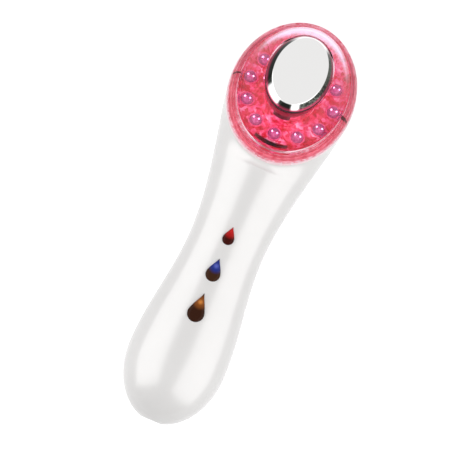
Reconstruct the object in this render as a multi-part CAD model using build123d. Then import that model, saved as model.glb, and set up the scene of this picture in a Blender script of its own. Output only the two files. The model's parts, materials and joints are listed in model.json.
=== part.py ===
from build123d import *
import os
from math import acos, cos, pi, radians, sin, sqrt, tan

# Ultrasonic facial massager, in millimetres.
# X runs across the handle, Y along it from the tail end towards the head, and Z
# up out of the button side.  The model is written with Y = 0 at the tail end and
# Z = 0 on the surface that the device lies on, and is moved to the middle of its
# length when it is written out.

# Overall form, and how far the fitted back surface dips under its ideal line
LENGTH = 190.46
REST_LIFT = 0.03
AXIS_Z = 19.5
WALL = 2.0
GRIP_Y = 29.0
GRIP_HALF_WIDTH = 22.4
GRIP_HALF_DEPTH = 19.5
TAIL_REACH = 29.8
WAIST_Y = 84.0
WAIST_HALF_WIDTH = 17.3
WAIST_FRONT = 15.5
WAIST_BACK = 16.0
SHOULDER_FRONT = 20.0

# Oblique opening of the head
HEAD_Y = 156.5
HEAD_Z = 24.0
HEAD_HALF_WIDTH = 28.2
HEAD_HALF_LENGTH = 36.0
HEAD_TILT = radians(26.0)
FAN_GAP = 3.5
FAN_ANGLE = pi / 2 - HEAD_TILT
PIVOT_Y = HEAD_Y - (HEAD_HALF_LENGTH + FAN_GAP) * cos(HEAD_TILT)
PIVOT_Z = HEAD_Z + (HEAD_HALF_LENGTH + FAN_GAP) * sin(HEAD_TILT)
TIP_ROUNDING = 8.0
HEAD_PLANE = Plane(
    origin=(0, HEAD_Y, HEAD_Z),
    x_dir=(1, 0, 0),
    z_dir=(0, sin(HEAD_TILT), cos(HEAD_TILT)),
)

# Parting line, its tongue, and the screws that close the housing
PARTING_DEPTH = 6.0
PARTING_RADIUS = 60.0
TONGUE_HEIGHT = 1.2
TONGUE_INSET = 1.1
FIT_GAP = 0.1
HOUSING_SCREWS = [(x, y) for y, half in ((18.0, 11.0), (127.0, 14.5)) for x in (-half, half)]
SCREW_SEAT_Z = 9.0
SCREW_HEAD_RADIUS = 2.5
SCREW_HEAD_HEIGHT = 2.0
SCREW_RADIUS = 1.3
SCREW_LENGTH = 19.0
SCREW_PLAY = 0.2
BOSS_RADIUS = 3.8
FRONT_BOSS_RADIUS = 3.0

# Lens, seal and reflector, as (height above the opening, half width, half length)
SEAL_HEIGHT = 1.5
SEAL_EDGE = 0.45
LENS_WALL = 2.0
LENS_SIDE = [(1.5, 28.0, 35.7), (4.2, 27.8, 35.5), (7.6, 26.2, 33.8)]
LENS_ROOF = [(8.4, 24.2, 31.8), (13.2, 21.0, 28.0), (17.2, 17.8, 24.0), (20.0, 15.0, 20.8)]
COLLAR_HOLE = (12.4, 18.0)
SPIGOT_OUTER = (26.1, 33.8)
SPIGOT_INNER = (24.6, 32.3)
SPIGOT_DEPTH = 2.5
LEDGE_THICKNESS = 1.2
LEDGE_HOLE = (23.6, 31.3)
LUG_REACH = 0.9
LUG_ROOT = 0.6
LUG_HEIGHTS = (-1.9, -0.9)
LUG_SIDE_WIDTH = 6.0
LUG_END_WIDTH = 14.0
LUG_GAP = 0.2
REFLECTOR_SKIRT = (24.3, 32.0)
REFLECTOR_FLOOR = 0.6
REFLECTOR_SHEET = 1.1
REFLECTOR_RIM = 3.0
REFLECTOR_WALL = 1.0
REFLECTOR_BEVEL = (1.8, 3.2)
REFLECTOR_BEVEL_DROP = 0.4
REFLECTOR_SLOT = ((26.0, 27.0), (24.6, 24.9))
REFLECTOR_SLOT_WIDTH = 15.0
COLUMN_OUTER = (12.0, 17.0)
COLUMN_WALL = 1.2
COLUMN_TOP = 15.0

# Ring of light emitting diodes on their board
LED_COUNT = 12
LED_RING = (19.6, 21.4)
LED_RADIUS = 2.5
LED_FLANGE_RADIUS = 2.9
LED_LENGTH = 8.6
LED_HOLE_RADIUS = 2.7
LED_BOARD_TOP = -5.0
LED_BOARD_SIZE = (23.2, 29.0)
LED_BOARD_HOLE = (7.0, 9.0)
LED_POSTS = [(x, y) for x in (-14.5, 14.5) for y in (-20.5, 20.5)]
LED_POST_RADIUS = 1.8

# Ultrasonic probe
GASKET_THICKNESS = 0.5
PROBE_BASE = (14.1, 19.6)
PROBE_LIP = 0.4
PROBE_FACE = (11.5, 17.4)
PROBE_HEIGHT = 23.6
PROBE_NECK = (11.0, 16.6)
PROBE_CAVITY = (9.8, 15.4)
PROBE_NECK_END = 16.8
FACE_THICKNESS = 1.2
FACE_EDGE = 0.6
DISC_RADIUS = 9.0
DISC_THICKNESS = 2.0
CLAMP_SIZE = (13.6, 19.3)
CLAMP_FLOOR = 1.6
CLAMP_WIRE_HOLE = 5.0
PROBE_SCREW_Y = 12.5
PROBE_BOSS_RADIUS = 2.0
SMALL_SCREW_RADIUS = 0.75
SMALL_HEAD_RADIUS = 1.7
SMALL_HEAD_HEIGHT = 1.3

# Main board, under the keys
BOARD_TOP = 27.1
BOARD_THICKNESS = 1.6
BOARD_START = 26.0
BOARD_END = 112.0
BOARD_HALF_WIDTH = 10.5
BOARD_POSTS = [(x, y) for x in (-8.0, 8.0) for y in (33.0, 104.0)]
BOARD_POST_RADIUS = 2.2
BOARD_CORNER = 2.5
BOARD_UNDER = BOARD_TOP - BOARD_THICKNESS

# Parts on the main board: middle (X, Y), width and length, then depths or heights from the board
CHIP_SPOT = (0.0, 49.0)
CHIP_SIZE = (6.0, 10.0)
CHIP_DEPTHS = (0.1, 1.7)
CHIP_LEGS = 8
CHIP_PITCH = 1.23
CHIP_LEG = (1.0, 0.4, 0.6)
CORE_SPOT = (0.0, 92.0)
CORE_SIZE = (13.0, 6.0)
CORE_DEPTHS = (1.5, 10.5)
CORE_LEG_HALF = 2.0
CORE_WINDOW_WIDTH = 2.6
CORE_WINDOW_DEPTHS = (3.3, 8.7)
COIL_SIZE = (9.0, 11.2)
COIL_DEPTHS = (3.4, 8.6)
COIL_CORNER = 2.0
BOBBIN_FOOT = 2.2
TRANSISTOR_SPOT = (0.0, 99.05)
TRANSISTOR_SIZE = (6.6, 6.1)
TRANSISTOR_HEIGHT = 2.3
TRANSISTOR_TAB = (5.4, 1.1)
TRANSISTOR_LEG = (0.7, 2.6)
TRANSISTOR_LEG_X = 2.3
FOOT_THICKNESS = 0.5
CAPACITOR_SPOT = (5.0, 80.0)
CAPACITOR_RADIUS = 3.1
CAPACITOR_LENGTH = 7.6
BEEPER_SPOT = (0.0, 38.0)
BEEPER_RADIUS = 4.4
BEEPER_HEIGHT = 4.0
BEEPER_HOLE = 0.8
BEEPER_HOLE_DEPTH = 1.5
CAN_EDGE = 0.5
CHIP_EDGE = 0.3

# Keys, as (name, middle Y, length, width), each a drop with its tip to the head
KEYS = [
    ("red", 88.4, 8.1, 5.0),
    ("blue", 72.1, 10.5, 6.3),
    ("amber", 54.1, 13.2, 7.4),
]
KEY_GAP = 0.15
KEY_RIM = 0.2
KEY_DOME = 1.0
KEY_CROWN = [(0.97, 0.0), (0.9, 0.45), (0.68, 0.8), (0.3, 1.0)]
KEY_SEAT_GAP = 0.05
DROP_SHOULDER = radians(18)
DROP_TIP_RADIUS = 0.12
COLLAR_WALL = 1.0
FLANGE_THICKNESS = 0.8
FLANGE_REACH = 0.9
STEM_RADIUS = 1.2
SWITCH_SIZE = 4.5
SWITCH_HEIGHT = 3.0
SWITCH_CORNER = 0.4
SOLDER_TAG = (0.5, 0.7, 0.4)
SOLDER_TAG_Y = (-1.25, 1.25)
KEY_LED_BASE = (2.0, 1.2, 0.4)
KEY_LED_LENS = (1.4, 1.0, 0.4)
KEY_LED_GAP = 1.1
KEY_LED_EDGE = 0.15
PLUNGER_RADIUS = 1.1
PLUNGER_BORE = 1.25
PLUNGER_TOP = 31.0
PLUNGER_BOTTOM = 28.5
PLUNGER_WELL = 27.9
PLUNGER_EDGE = 0.2

# Rechargeable cell and its cradle
CELL_RADIUS = 7.0
CELL_START = 24.0
CELL_LENGTH = 50.0
CELL_Z = 13.0
CRADLE_START = 30.0
CRADLE_END = 68.0
CRADLE_HALF_WIDTH = 8.6
CRADLE_RISE = 2.0
CRADLE_SLOTS = (39.5, 52.0)
CRADLE_SLOT_LENGTH = 6.5
CRADLE_SLOT_DEPTH = 3.0
CELL_EDGE = 0.4
CELL_CROWN = [(0.0, 4.0), (0.35, 3.4), (0.0, 2.8), (0.0, 1.4), (0.5, 1.0)]
CELL_BUTTON = [(2.8, 1.0), (2.6, 0.0)]
TAB_THICKNESS = 0.3
TAB_HALF_WIDTH = 2.0
TAB_BELOW = 4.0
TAB_ABOVE = 8.5
TAB_CORNER = 0.8

# Charging socket in the tail
SOCKET_RADIUS = 3.9
SOCKET_START = 0.3
SOCKET_EDGE = 0.25
SOCKET_LENGTH = 12.0
SOCKET_BORE = 2.9
SOCKET_BORE_DEPTH = 9.0
SOCKET_HOLE = 4.0
SOCKET_FLANGE_RADIUS = 4.6
SOCKET_FLANGE = (2.5, 3.6)
YOKE = (3.7, 5.0)
PIN_RADIUS = 1.0
PIN_START = 1.0
PIN_NOSE = 0.6
PIN_SHANK_RADIUS = 0.8
PIN_TAIL = 1.5
SPRING_WIDTH = 1.6
SPRING_START = 4.2
SPRING_DEPTH = (0.05, 0.45)
SPRING_TAIL = 2.5
SPRING_NOSE = 0.4
SPRING_NOSE_Y = 5.6
SPRING_SLOT = (-0.5, 0.5)
SPRING_SLOT_START = 4.0
SPRING_SLOT_WIDTH = 1.8
TAIL_WALL = 2.4

# Connectors under the board, as (start Y, end Y), and the leads between them
HEAD_PLUG = (106.0, 111.5)
HEAD_PLUG_HALF_WIDTH = 5.2
BATTERY_PLUG = (29.0, 35.0)
BATTERY_PLUG_HALF_WIDTH = 3.2
PLUG_HEIGHT = 4.6
PLUG_WALL = 0.7
PLUG_POCKET = 2.0
PLUG_POCKET_DEPTHS = (0.8, 3.9)
PLUG_LEAD_Z = 23.0
LEAD_RADIUS = 0.5
TRANSDUCER_LEAD_X = 1.4
TRANSDUCER_LEAD_TURNS = [(128.0, 17.5), (119.0, 22.5)]
TRANSDUCER_LEAD_DROP = -12.0
TRANSDUCER_LEAD_BEND = 8.0
LED_LEAD_X = 4.0
LED_LEAD_Y = -20.0
LED_LEAD_DROP = 6.0
LED_LEAD_TURN = (121.0, 22.2)
LED_LEAD_BEND = 5.0
BATTERY_LEAD_X = 1.5
BATTERY_LEAD_RISE = 1.5
BATTERY_LEAD_BEND = 1.2

# Screws: cross slots as (length, width, twice the depth), and lengths of shank
HOUSING_SLOT = (2.8, 0.6, 1.6)
SMALL_SLOT = (2.0, 0.4, 0.8)
BOARD_SCREW_LENGTH = 6.5
LED_SCREW_LENGTH = 5.5
PROBE_SCREW_LENGTH = 6.0


def ease(t):
    """Smooth step from 0 to 1."""
    t = min(max(t, 0.0), 1.0)
    return (1 - cos(pi * t)) / 2


def half_width(y):
    if y <= WAIST_Y:
        swell = 1 - ease((y - GRIP_Y) / (WAIST_Y - GRIP_Y))
        return WAIST_HALF_WIDTH + (GRIP_HALF_WIDTH - WAIST_HALF_WIDTH) * swell
    t = (y - WAIST_Y) / (HEAD_Y - WAIST_Y)
    return WAIST_HALF_WIDTH + (HEAD_HALF_WIDTH - WAIST_HALF_WIDTH) * t * t * (2.3 - 1.3 * t)


def front_height(y):
    """Height of the button side above the handle's axis."""
    if y <= WAIST_Y:
        swell = 1 - ease((y - GRIP_Y) / (WAIST_Y - GRIP_Y))
        return WAIST_FRONT + (GRIP_HALF_DEPTH - WAIST_FRONT) * swell
    t = (y - WAIST_Y) / (PIVOT_Y - WAIST_Y)
    return WAIST_FRONT + (SHOULDER_FRONT - WAIST_FRONT) * t * t * (1.6 - 0.6 * t)


def back_depth(y):
    """Depth of the back below the handle's axis."""
    swell = ease(abs(y - WAIST_Y) / (WAIST_Y - GRIP_Y))
    return WAIST_BACK + (GRIP_HALF_DEPTH - WAIST_BACK) * swell


def handle_section(y, inset):
    """Upright ellipse across the handle: angle, middle Y and Z, half axes."""
    tail = max(GRIP_Y - y, 0) / (TAIL_REACH - inset)
    scale = sqrt(1 - tail * tail)
    front = front_height(y)
    back = back_depth(y)
    width = (half_width(y) - inset) * scale
    depth = ((front + back) / 2 - inset) * scale
    return 0.0, y, AXIS_Z + (front - back) / 2, width, depth


def floor_reach(angle):
    """Distance from the pivot to the flat of the back, at an angle of the fan."""
    y_floor = PIVOT_Y + PIVOT_Z * tan(angle)
    return (PIVOT_Z - AXIS_Z + back_depth(y_floor)) / cos(angle)


def rounded_reach(floor, tip):
    """The nearer of two limits, with a rounded corner between them."""
    return (floor**-TIP_ROUNDING + tip**-TIP_ROUNDING) ** (-1 / TIP_ROUNDING)


def fan_section(angle, inset):
    """Ellipse that turns about the pivot, from the handle to the oblique opening."""
    full = 2 * HEAD_HALF_LENGTH + FAN_GAP
    end_floor = floor_reach(FAN_ANGLE)
    tip_wall = (full**-TIP_ROUNDING - end_floor**-TIP_ROUNDING) ** (-1 / TIP_ROUNDING)
    near = PIVOT_Z - AXIS_Z - SHOULDER_FRONT
    near += (FAN_GAP - near) * angle / FAN_ANGLE
    far = rounded_reach(floor_reach(angle), tip_wall / cos(FAN_ANGLE - angle))
    middle = (near + far) / 2
    y = PIVOT_Y + middle * sin(angle)
    z = PIVOT_Z - middle * cos(angle)
    return angle, y, z, half_width(y) - inset, (far - near) / 2 - inset


def body_sections(inset, tail_steps=8, handle_steps=12, fan_steps=10):
    reach = TAIL_REACH - inset
    start = TAIL_WALL / WALL * inset
    first = acos((GRIP_Y - start) / reach)
    sections = []
    for k in range(tail_steps):
        turn = first + (pi / 2 - first) * k / tail_steps
        sections.append(handle_section(GRIP_Y - reach * cos(turn), inset))
    for k in range(handle_steps):
        y = GRIP_Y + (PIVOT_Y - GRIP_Y) * k / handle_steps
        sections.append(handle_section(y, inset))
    for k in range(fan_steps + 1):
        sections.append(fan_section(FAN_ANGLE * k / fan_steps, inset))
    return sections


def body_form(inset, around=12):
    """Solid of the body's outer shape, drawn in by an inset on every side."""
    rows = []
    for angle, y, z, width, depth in body_sections(inset):
        row = []
        for k in range(around + 1):
            turn = pi * k / around
            reach = -depth * cos(turn)
            row.append(Vector(width * sin(turn), y + reach * sin(angle), z - reach * cos(angle)))
        rows.append(row)
    right = Face.make_surface_from_array_of_points(rows, tol=0.01)
    left = mirror(right, Plane.YZ)
    right_ends = right.edges().filter_by(lambda edge: abs((edge @ 0.5).X) > 1).sort_by(Axis.Y)
    left_ends = left.edges().filter_by(lambda edge: abs((edge @ 0.5).X) > 1).sort_by(Axis.Y)
    tail_cap = Face(Wire([right_ends[0], left_ends[0]]))
    head_cap = Face(Wire([right_ends[-1], left_ends[-1]]))
    return Solid(Shell([right, left, tail_cap, head_cap]))


def head_ellipse(size, height):
    return HEAD_PLANE.offset(height) * Ellipse(*size)


def head_disc(size, low, high):
    return extrude(head_ellipse(size, low), high - low)


def head_ring(outer, inner, low, high):
    return head_disc(outer, low, high) - head_disc(inner, low, high)


def head_rod(x, y, radius, low, high):
    return extrude(HEAD_PLANE.offset(low) * Pos(x, y) * Circle(radius), high - low)


def upright_rod(x, y, radius, low, high):
    return extrude(Pos(x, y, low) * Circle(radius), high - low)


def lengthwise_rod(radius, start, end, x=0.0, z=AXIS_Z):
    plane = Plane(origin=(x, start, z), x_dir=(1, 0, 0), z_dir=(0, 1, 0))
    return extrude(plane * Circle(radius), end - start)


def block(x, y, z):
    """Box between two limits along each axis."""
    size = Box(x[1] - x[0], y[1] - y[0], z[1] - z[0])
    return Pos((x[0] + x[1]) / 2, (y[0] + y[1]) / 2, (z[0] + z[1]) / 2) * size


def slab(spot, size, low, high):
    """Block about a middle point, with a width and a length, between two heights."""
    x, y = spot
    width, length = size
    return block((x - width / 2, x + width / 2), (y - length / 2, y + length / 2), (low, high))


def below_parting(raised=0.0):
    """Everything under the line where the two shells meet, raised by a height."""
    z_flat = AXIS_Z + raised
    z_head = HEAD_Z - PARTING_DEPTH / cos(HEAD_TILT) + raised
    y_bend = HEAD_Y + (z_head - z_flat) / tan(HEAD_TILT)
    y_far = LENGTH + 20
    z_far = z_head - (y_far - HEAD_Y) * tan(HEAD_TILT)
    outline = Polyline((-20, -30), (-20, z_flat), (y_bend, z_flat), (y_far, z_far), (y_far, -30), close=True)
    profile = make_face(outline)
    bend = profile.vertices().sort_by_distance((y_bend, z_flat, 0))[0]
    profile = fillet(bend, PARTING_RADIUS)
    return extrude(Plane.YZ * profile, 40, both=True)


def drop_outline(length, width, grow=0.0):
    """Water drop with its round centre at the origin and its tip along +Y."""
    radius = width / 2 + grow
    tip = length - width / 2 + 1.6 * grow
    start = Vector(radius * cos(DROP_SHOULDER), radius * sin(DROP_SHOULDER))
    rise = tip - start.Y
    along = Vector(-sin(DROP_SHOULDER), cos(DROP_SHOULDER))
    inner = start + along * (0.5 * rise)
    outer = Vector(0.22 * radius, tip - 0.34 * rise)
    right = Bezier(start, inner, outer, (0, tip))
    left = mirror(right, Plane.YZ)
    round_end = ThreePointArc(start, (0, -radius), (-start.X, start.Y))
    face = make_face(Curve() + [right, left, round_end])
    return fillet(face.vertices().sort_by(Axis.Y)[-1], DROP_TIP_RADIUS * radius)


def key_place(key):
    """Round centre of a key along the handle, and the depth of its seat."""
    name, middle, length, width = key
    centre = middle - length / 2 + width / 2
    surface = AXIS_Z + front_height(middle)
    return centre, surface - WALL - 0.12 * length


def key_prism(key, grow, low, high):
    name, middle, length, width = key
    centre, seat = key_place(key)
    return extrude(Pos(0, centre, low) * drop_outline(length, width, grow), high - low)


def housing_bosses(radius, low, high):
    return [upright_rod(x, y, radius, low, high) for x, y in HOUSING_SCREWS]


def snap_lugs(gap):
    """Arcs on the lens spigot, at both sides and at the lower edge, grown by a gap."""
    reach = LUG_REACH + gap
    ring = head_ring(
        (SPIGOT_OUTER[0] + reach, SPIGOT_OUTER[1] + reach),
        (SPIGOT_OUTER[0] - LUG_ROOT, SPIGOT_OUTER[1] - LUG_ROOT),
        LUG_HEIGHTS[0] - gap,
        LUG_HEIGHTS[1] + gap,
    )
    side = HEAD_PLANE * Box(3 * HEAD_HALF_WIDTH, LUG_SIDE_WIDTH + 3 * gap, 10)
    end = HEAD_PLANE * Pos(0, -HEAD_HALF_LENGTH) * Box(LUG_END_WIDTH + 3 * gap, 20, 10)
    return (ring & side) + (ring & end)


class Forms:
    """The few large forms that several pieces are cut from."""

    outer = body_form(0.0)
    cavity = body_form(WALL)
    tongue_outer = body_form(TONGUE_INSET)
    groove_outer = body_form(TONGUE_INSET - FIT_GAP)
    inside = body_form(WALL / 2)
    wall = outer - cavity
    lower = below_parting()
    tongue_band = below_parting(TONGUE_HEIGHT) - lower
    groove_band = below_parting(TONGUE_HEIGHT + FIT_GAP) - lower


def socket_yoke():
    """Bulkhead behind the tail wall that holds the charging socket's flange."""
    slab = block((-20, 20), YOKE, (0, 40))
    return (Forms.cavity & slab) - lengthwise_rod(SOCKET_RADIUS + FIT_GAP, YOKE[0] - 1, YOKE[1] + 1)


def socket_opening():
    return lengthwise_rod(SOCKET_HOLE, -5, YOKE[0] - 0.5)


def front_shell():
    shell = Forms.wall - Forms.lower
    shell = shell - (Forms.groove_outer & Forms.groove_band)
    inside = Forms.inside
    shell = shell + ((socket_yoke() & inside) - Forms.lower)
    for boss in housing_bosses(FRONT_BOSS_RADIUS, AXIS_Z, 50):
        shell = shell + ((boss & inside) - head_disc((60, 60), -1, 30))
    for x, y in BOARD_POSTS:
        shell = shell + (upright_rod(x, y, BOARD_POST_RADIUS, BOARD_TOP, 50) & inside)
    for key in KEYS:
        seat = key_place(key)[1]
        shell = shell + (key_prism(key, KEY_GAP + COLLAR_WALL, seat, 50) & inside)
    ledge_top = -SPIGOT_DEPTH
    ledge = head_ring((HEAD_HALF_WIDTH, HEAD_HALF_LENGTH), LEDGE_HOLE, ledge_top - LEDGE_THICKNESS, ledge_top)
    shell = shell + (ledge & inside)
    shell = shell - head_disc((SPIGOT_OUTER[0] + FIT_GAP, SPIGOT_OUTER[1] + FIT_GAP), ledge_top, 1)
    shell = shell - snap_lugs(LUG_GAP)
    for key in KEYS:
        shell = shell - key_prism(key, KEY_GAP, BOARD_TOP, 60)
    for x, y in HOUSING_SCREWS:
        bore_top = SCREW_SEAT_Z + SCREW_LENGTH + 1
        shell = shell - upright_rod(x, y, SCREW_RADIUS - SCREW_PLAY, AXIS_Z - 1, bore_top)
    for x, y in BOARD_POSTS:
        shell = shell - upright_rod(x, y, SMALL_SCREW_RADIUS, BOARD_TOP - 1, BOARD_TOP + 6)
    return shell - socket_opening()


def back_shell():
    shell = Forms.wall & Forms.lower
    shell = shell + ((Forms.tongue_outer - Forms.cavity) & Forms.tongue_band)
    inside = Forms.inside
    shell = shell + (socket_yoke() & Forms.lower)
    for boss in housing_bosses(BOSS_RADIUS, 0, AXIS_Z):
        shell = shell + (boss & inside)
    for x, y in HOUSING_SCREWS:
        shell = shell - upright_rod(x, y, SCREW_HEAD_RADIUS + 0.2, -1, SCREW_SEAT_Z)
        shell = shell - upright_rod(x, y, SCREW_RADIUS + SCREW_PLAY, -1, AXIS_Z + 2)
    return shell - socket_opening()


def cross_slot(size):
    length, width, depth = size
    return Box(length, width, depth) + Box(width, length, depth)


def housing_screw(x, y):
    low = SCREW_SEAT_Z - SCREW_HEAD_HEIGHT
    head = upright_rod(x, y, SCREW_HEAD_RADIUS, low, SCREW_SEAT_Z)
    shank = upright_rod(x, y, SCREW_RADIUS - SCREW_PLAY, SCREW_SEAT_Z, SCREW_SEAT_Z + SCREW_LENGTH)
    return head + shank - Pos(x, y, low) * cross_slot(HOUSING_SLOT)


def screw_plug(x, y):
    rod = upright_rod(x, y, SCREW_HEAD_RADIUS + 0.15, 0, SCREW_SEAT_Z - SCREW_HEAD_HEIGHT)
    return rod & Forms.outer


def small_screw(place, length):
    """Board screw with its head below the place and its shank above it."""
    shank = extrude(place * Circle(SMALL_SCREW_RADIUS), length)
    head = extrude(place * Circle(SMALL_HEAD_RADIUS), -SMALL_HEAD_HEIGHT)
    return shank + head - place * Pos(0, 0, -SMALL_HEAD_HEIGHT) * cross_slot(SMALL_SLOT)


def lens_seal():
    ring = head_ring(
        (HEAD_HALF_WIDTH + 0.1, HEAD_HALF_LENGTH + 0.1),
        (SPIGOT_OUTER[0] + 0.1, SPIGOT_OUTER[1] + 0.1),
        0.0,
        SEAL_HEIGHT,
    )
    outside = ring.edges().sort_by(SortBy.LENGTH)[-2:]
    return fillet(outside, SEAL_EDGE)


def dome(side, roof):
    """Lofted side, narrow ledge at the shoulder, and lofted roof."""
    lower = loft([head_ellipse((width, length), height) for height, width, length in side])
    shoulder = [side[-1], roof[0]]
    ledge = loft([head_ellipse((width, length), height) for height, width, length in shoulder], ruled=True)
    upper = loft([head_ellipse((width, length), height) for height, width, length in roof])
    return lower + ledge + upper


def light_lens():
    outside = dome(LENS_SIDE, LENS_ROOF)
    inner_side = [(h, a - LENS_WALL, b - LENS_WALL) for h, a, b in LENS_SIDE]
    inner_side[-1] = (LENS_SIDE[-1][0] - LENS_WALL / 2, inner_side[-1][1], inner_side[-1][2])
    drawn_in = 0.7 * LENS_WALL
    inner_roof = [(h - drawn_in, a - drawn_in, b - drawn_in) for h, a, b in LENS_ROOF]
    underside = LENS_ROOF[-1][0] - LENS_WALL
    inner = dome(inner_side, inner_roof) & head_disc((40, 40), 0, underside)
    spigot = head_ring(SPIGOT_OUTER, SPIGOT_INNER, -SPIGOT_DEPTH, 4.0)
    shell = outside - inner
    shell = shell + (spigot & head_disc((40, 40), -SPIGOT_DEPTH, LENS_SIDE[0][0])) + (spigot & outside)
    shell = shell + snap_lugs(0)
    return shell - head_disc(COLLAR_HOLE, underside - 1, LENS_ROOF[-1][0] + 1)


def led_positions():
    for k in range(LED_COUNT):
        turn = 2 * pi * k / LED_COUNT
        yield LED_RING[0] * sin(turn), -LED_RING[1] * cos(turn)


def reflector():
    """Tray with a sloping rim, a column for the probe, and a slot at its lower edge."""
    inner = (REFLECTOR_SKIRT[0] - REFLECTOR_WALL, REFLECTOR_SKIRT[1] - REFLECTOR_WALL)
    slope_top = REFLECTOR_RIM - REFLECTOR_BEVEL_DROP
    slope_foot = (inner[0] - REFLECTOR_BEVEL[0], inner[1] - REFLECTOR_BEVEL[1])
    floor_low = REFLECTOR_FLOOR - REFLECTOR_SHEET
    tray = head_ring(REFLECTOR_SKIRT, inner, -SPIGOT_DEPTH, REFLECTOR_RIM)
    tray = tray + head_disc(REFLECTOR_SKIRT, floor_low, REFLECTOR_FLOOR)
    bevel_cut = loft(
        [
            head_ellipse(slope_foot, REFLECTOR_FLOOR),
            head_ellipse(inner, slope_top),
        ],
        ruled=True,
    )
    bevel = head_disc(REFLECTOR_SKIRT, REFLECTOR_FLOOR, slope_top) - bevel_cut
    tray = tray + bevel + head_disc(COLUMN_OUTER, REFLECTOR_FLOOR, COLUMN_TOP)
    column_inner = (COLUMN_OUTER[0] - COLUMN_WALL, COLUMN_OUTER[1] - COLUMN_WALL)
    for x, y in LED_POSTS:
        tray = tray + head_rod(x, y, LED_POST_RADIUS, LED_BOARD_TOP, floor_low)
    for x, y in LED_POSTS:
        tray = tray - head_rod(x, y, SMALL_SCREW_RADIUS, LED_BOARD_TOP - 1, floor_low)
    for x, y in led_positions():
        tray = tray - head_rod(x, y, LED_HOLE_RADIUS, floor_low - 1, REFLECTOR_FLOOR + 2)
    lower_end = HEAD_PLANE * Pos(0, -HEAD_HALF_LENGTH) * Box(REFLECTOR_SLOT_WIDTH, HEAD_HALF_LENGTH, 20)
    tray = tray - (head_ring(*REFLECTOR_SLOT, floor_low - 1, REFLECTOR_RIM) & lower_end)
    return tray - head_disc(column_inner, floor_low - 1, COLUMN_TOP + 1)


def led_board():
    low = LED_BOARD_TOP - BOARD_THICKNESS
    board = head_ring(LED_BOARD_SIZE, LED_BOARD_HOLE, low, LED_BOARD_TOP)
    for x, y in LED_POSTS:
        board = board - head_rod(x, y, SMALL_SCREW_RADIUS + SCREW_PLAY, low - 1, LED_BOARD_TOP + 1)
    return board


def light_diode(x, y):
    """Clear five millimetre diode: flange, body and round nose."""
    straight = LED_LENGTH - LED_RADIUS
    with BuildLine() as outline:
        flange = [(0, 0), (LED_FLANGE_RADIUS, 0), (LED_FLANGE_RADIUS, 1), (LED_RADIUS, 1)]
        Polyline(*flange, (LED_RADIUS, straight))
        RadiusArc((LED_RADIUS, straight), (0, LED_LENGTH), -LED_RADIUS)
        Line((0, LED_LENGTH), (0, 0))
    profile = Plane.XZ * make_face(outline.line)
    return HEAD_PLANE.offset(LED_BOARD_TOP) * Pos(x, y) * revolve(profile, Axis.Z)


def probe_cap():
    seat = LENS_ROOF[-1][0] + GASKET_THICKNESS
    lip = head_disc(PROBE_BASE, seat, seat + PROBE_LIP)
    skirt = loft(
        [head_ellipse(PROBE_BASE, seat + PROBE_LIP), head_ellipse(PROBE_FACE, PROBE_HEIGHT)],
        ruled=True,
    )
    top = lip + skirt
    direction = Axis((0, 0, 0), (0, sin(HEAD_TILT), cos(HEAD_TILT)))
    rim = top.edges().sort_by(direction)[-1]
    cap = fillet(rim, FACE_EDGE) + head_disc(PROBE_NECK, PROBE_NECK_END, seat)
    cap = cap - head_disc(PROBE_CAVITY, PROBE_NECK_END, PROBE_HEIGHT - FACE_THICKNESS)
    for y in (-PROBE_SCREW_Y, PROBE_SCREW_Y):
        cap = cap + head_rod(0, y, PROBE_BOSS_RADIUS, PROBE_NECK_END, PROBE_HEIGHT - FACE_THICKNESS)
    for y in (-PROBE_SCREW_Y, PROBE_SCREW_Y):
        cap = cap - head_rod(0, y, SMALL_SCREW_RADIUS, PROBE_NECK_END, PROBE_NECK_END + 5)
    return cap


def probe_gasket():
    land = LENS_ROOF[-1][0]
    outer = (PROBE_BASE[0] + 0.2, PROBE_BASE[1] + 0.2)
    sleeve = (COLLAR_HOLE[0] - 0.05, COLLAR_HOLE[1] - 0.05)
    ring = head_disc(outer, land, land + GASKET_THICKNESS) + head_disc(sleeve, land - LENS_WALL, land)
    neck = (PROBE_NECK[0] + 0.05, PROBE_NECK[1] + 0.05)
    return ring - head_disc(neck, land - LENS_WALL, land + GASKET_THICKNESS)


def piezo_disc():
    face = PROBE_HEIGHT - FACE_THICKNESS
    return head_rod(0, 0, DISC_RADIUS, face - DISC_THICKNESS, face)


def probe_clamp():
    top = LENS_ROOF[-1][0] - LENS_WALL
    low = PROBE_NECK_END - CLAMP_FLOOR
    clamp = head_disc(CLAMP_SIZE, low, top)
    clamp = clamp - head_disc((PROBE_NECK[0] + 0.3, PROBE_NECK[1] + 0.3), PROBE_NECK_END, top)
    clamp = clamp - head_rod(0, 0, CLAMP_WIRE_HOLE, low, top)
    for y in (-PROBE_SCREW_Y, PROBE_SCREW_Y):
        clamp = clamp - head_rod(0, y, SMALL_SCREW_RADIUS + SCREW_PLAY, low, top)
    return clamp


def key_top_plane(key):
    """Plane through the rim of a key's crown, parallel to the handle under it."""
    middle = key[1]
    slope = (front_height(middle + 1) - front_height(middle - 1)) / 2
    rim = AXIS_Z + front_height(middle) + KEY_RIM
    return Plane(origin=(0, middle, rim), x_dir=(1, 0, 0), z_dir=(0, -slope, 1))


def key_crown(key):
    """Domed top of a key, lofted through shrinking drops."""
    name, middle, length, width = key
    plane = key_top_plane(key)
    outlines = []
    for share, rise in KEY_CROWN:
        shift = (width - length) / 2 * share
        place = plane.offset(rise * KEY_DOME) * Pos(0, shift)
        outlines.append(place * drop_outline(length * share, width * share))
    return loft(outlines)


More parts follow.
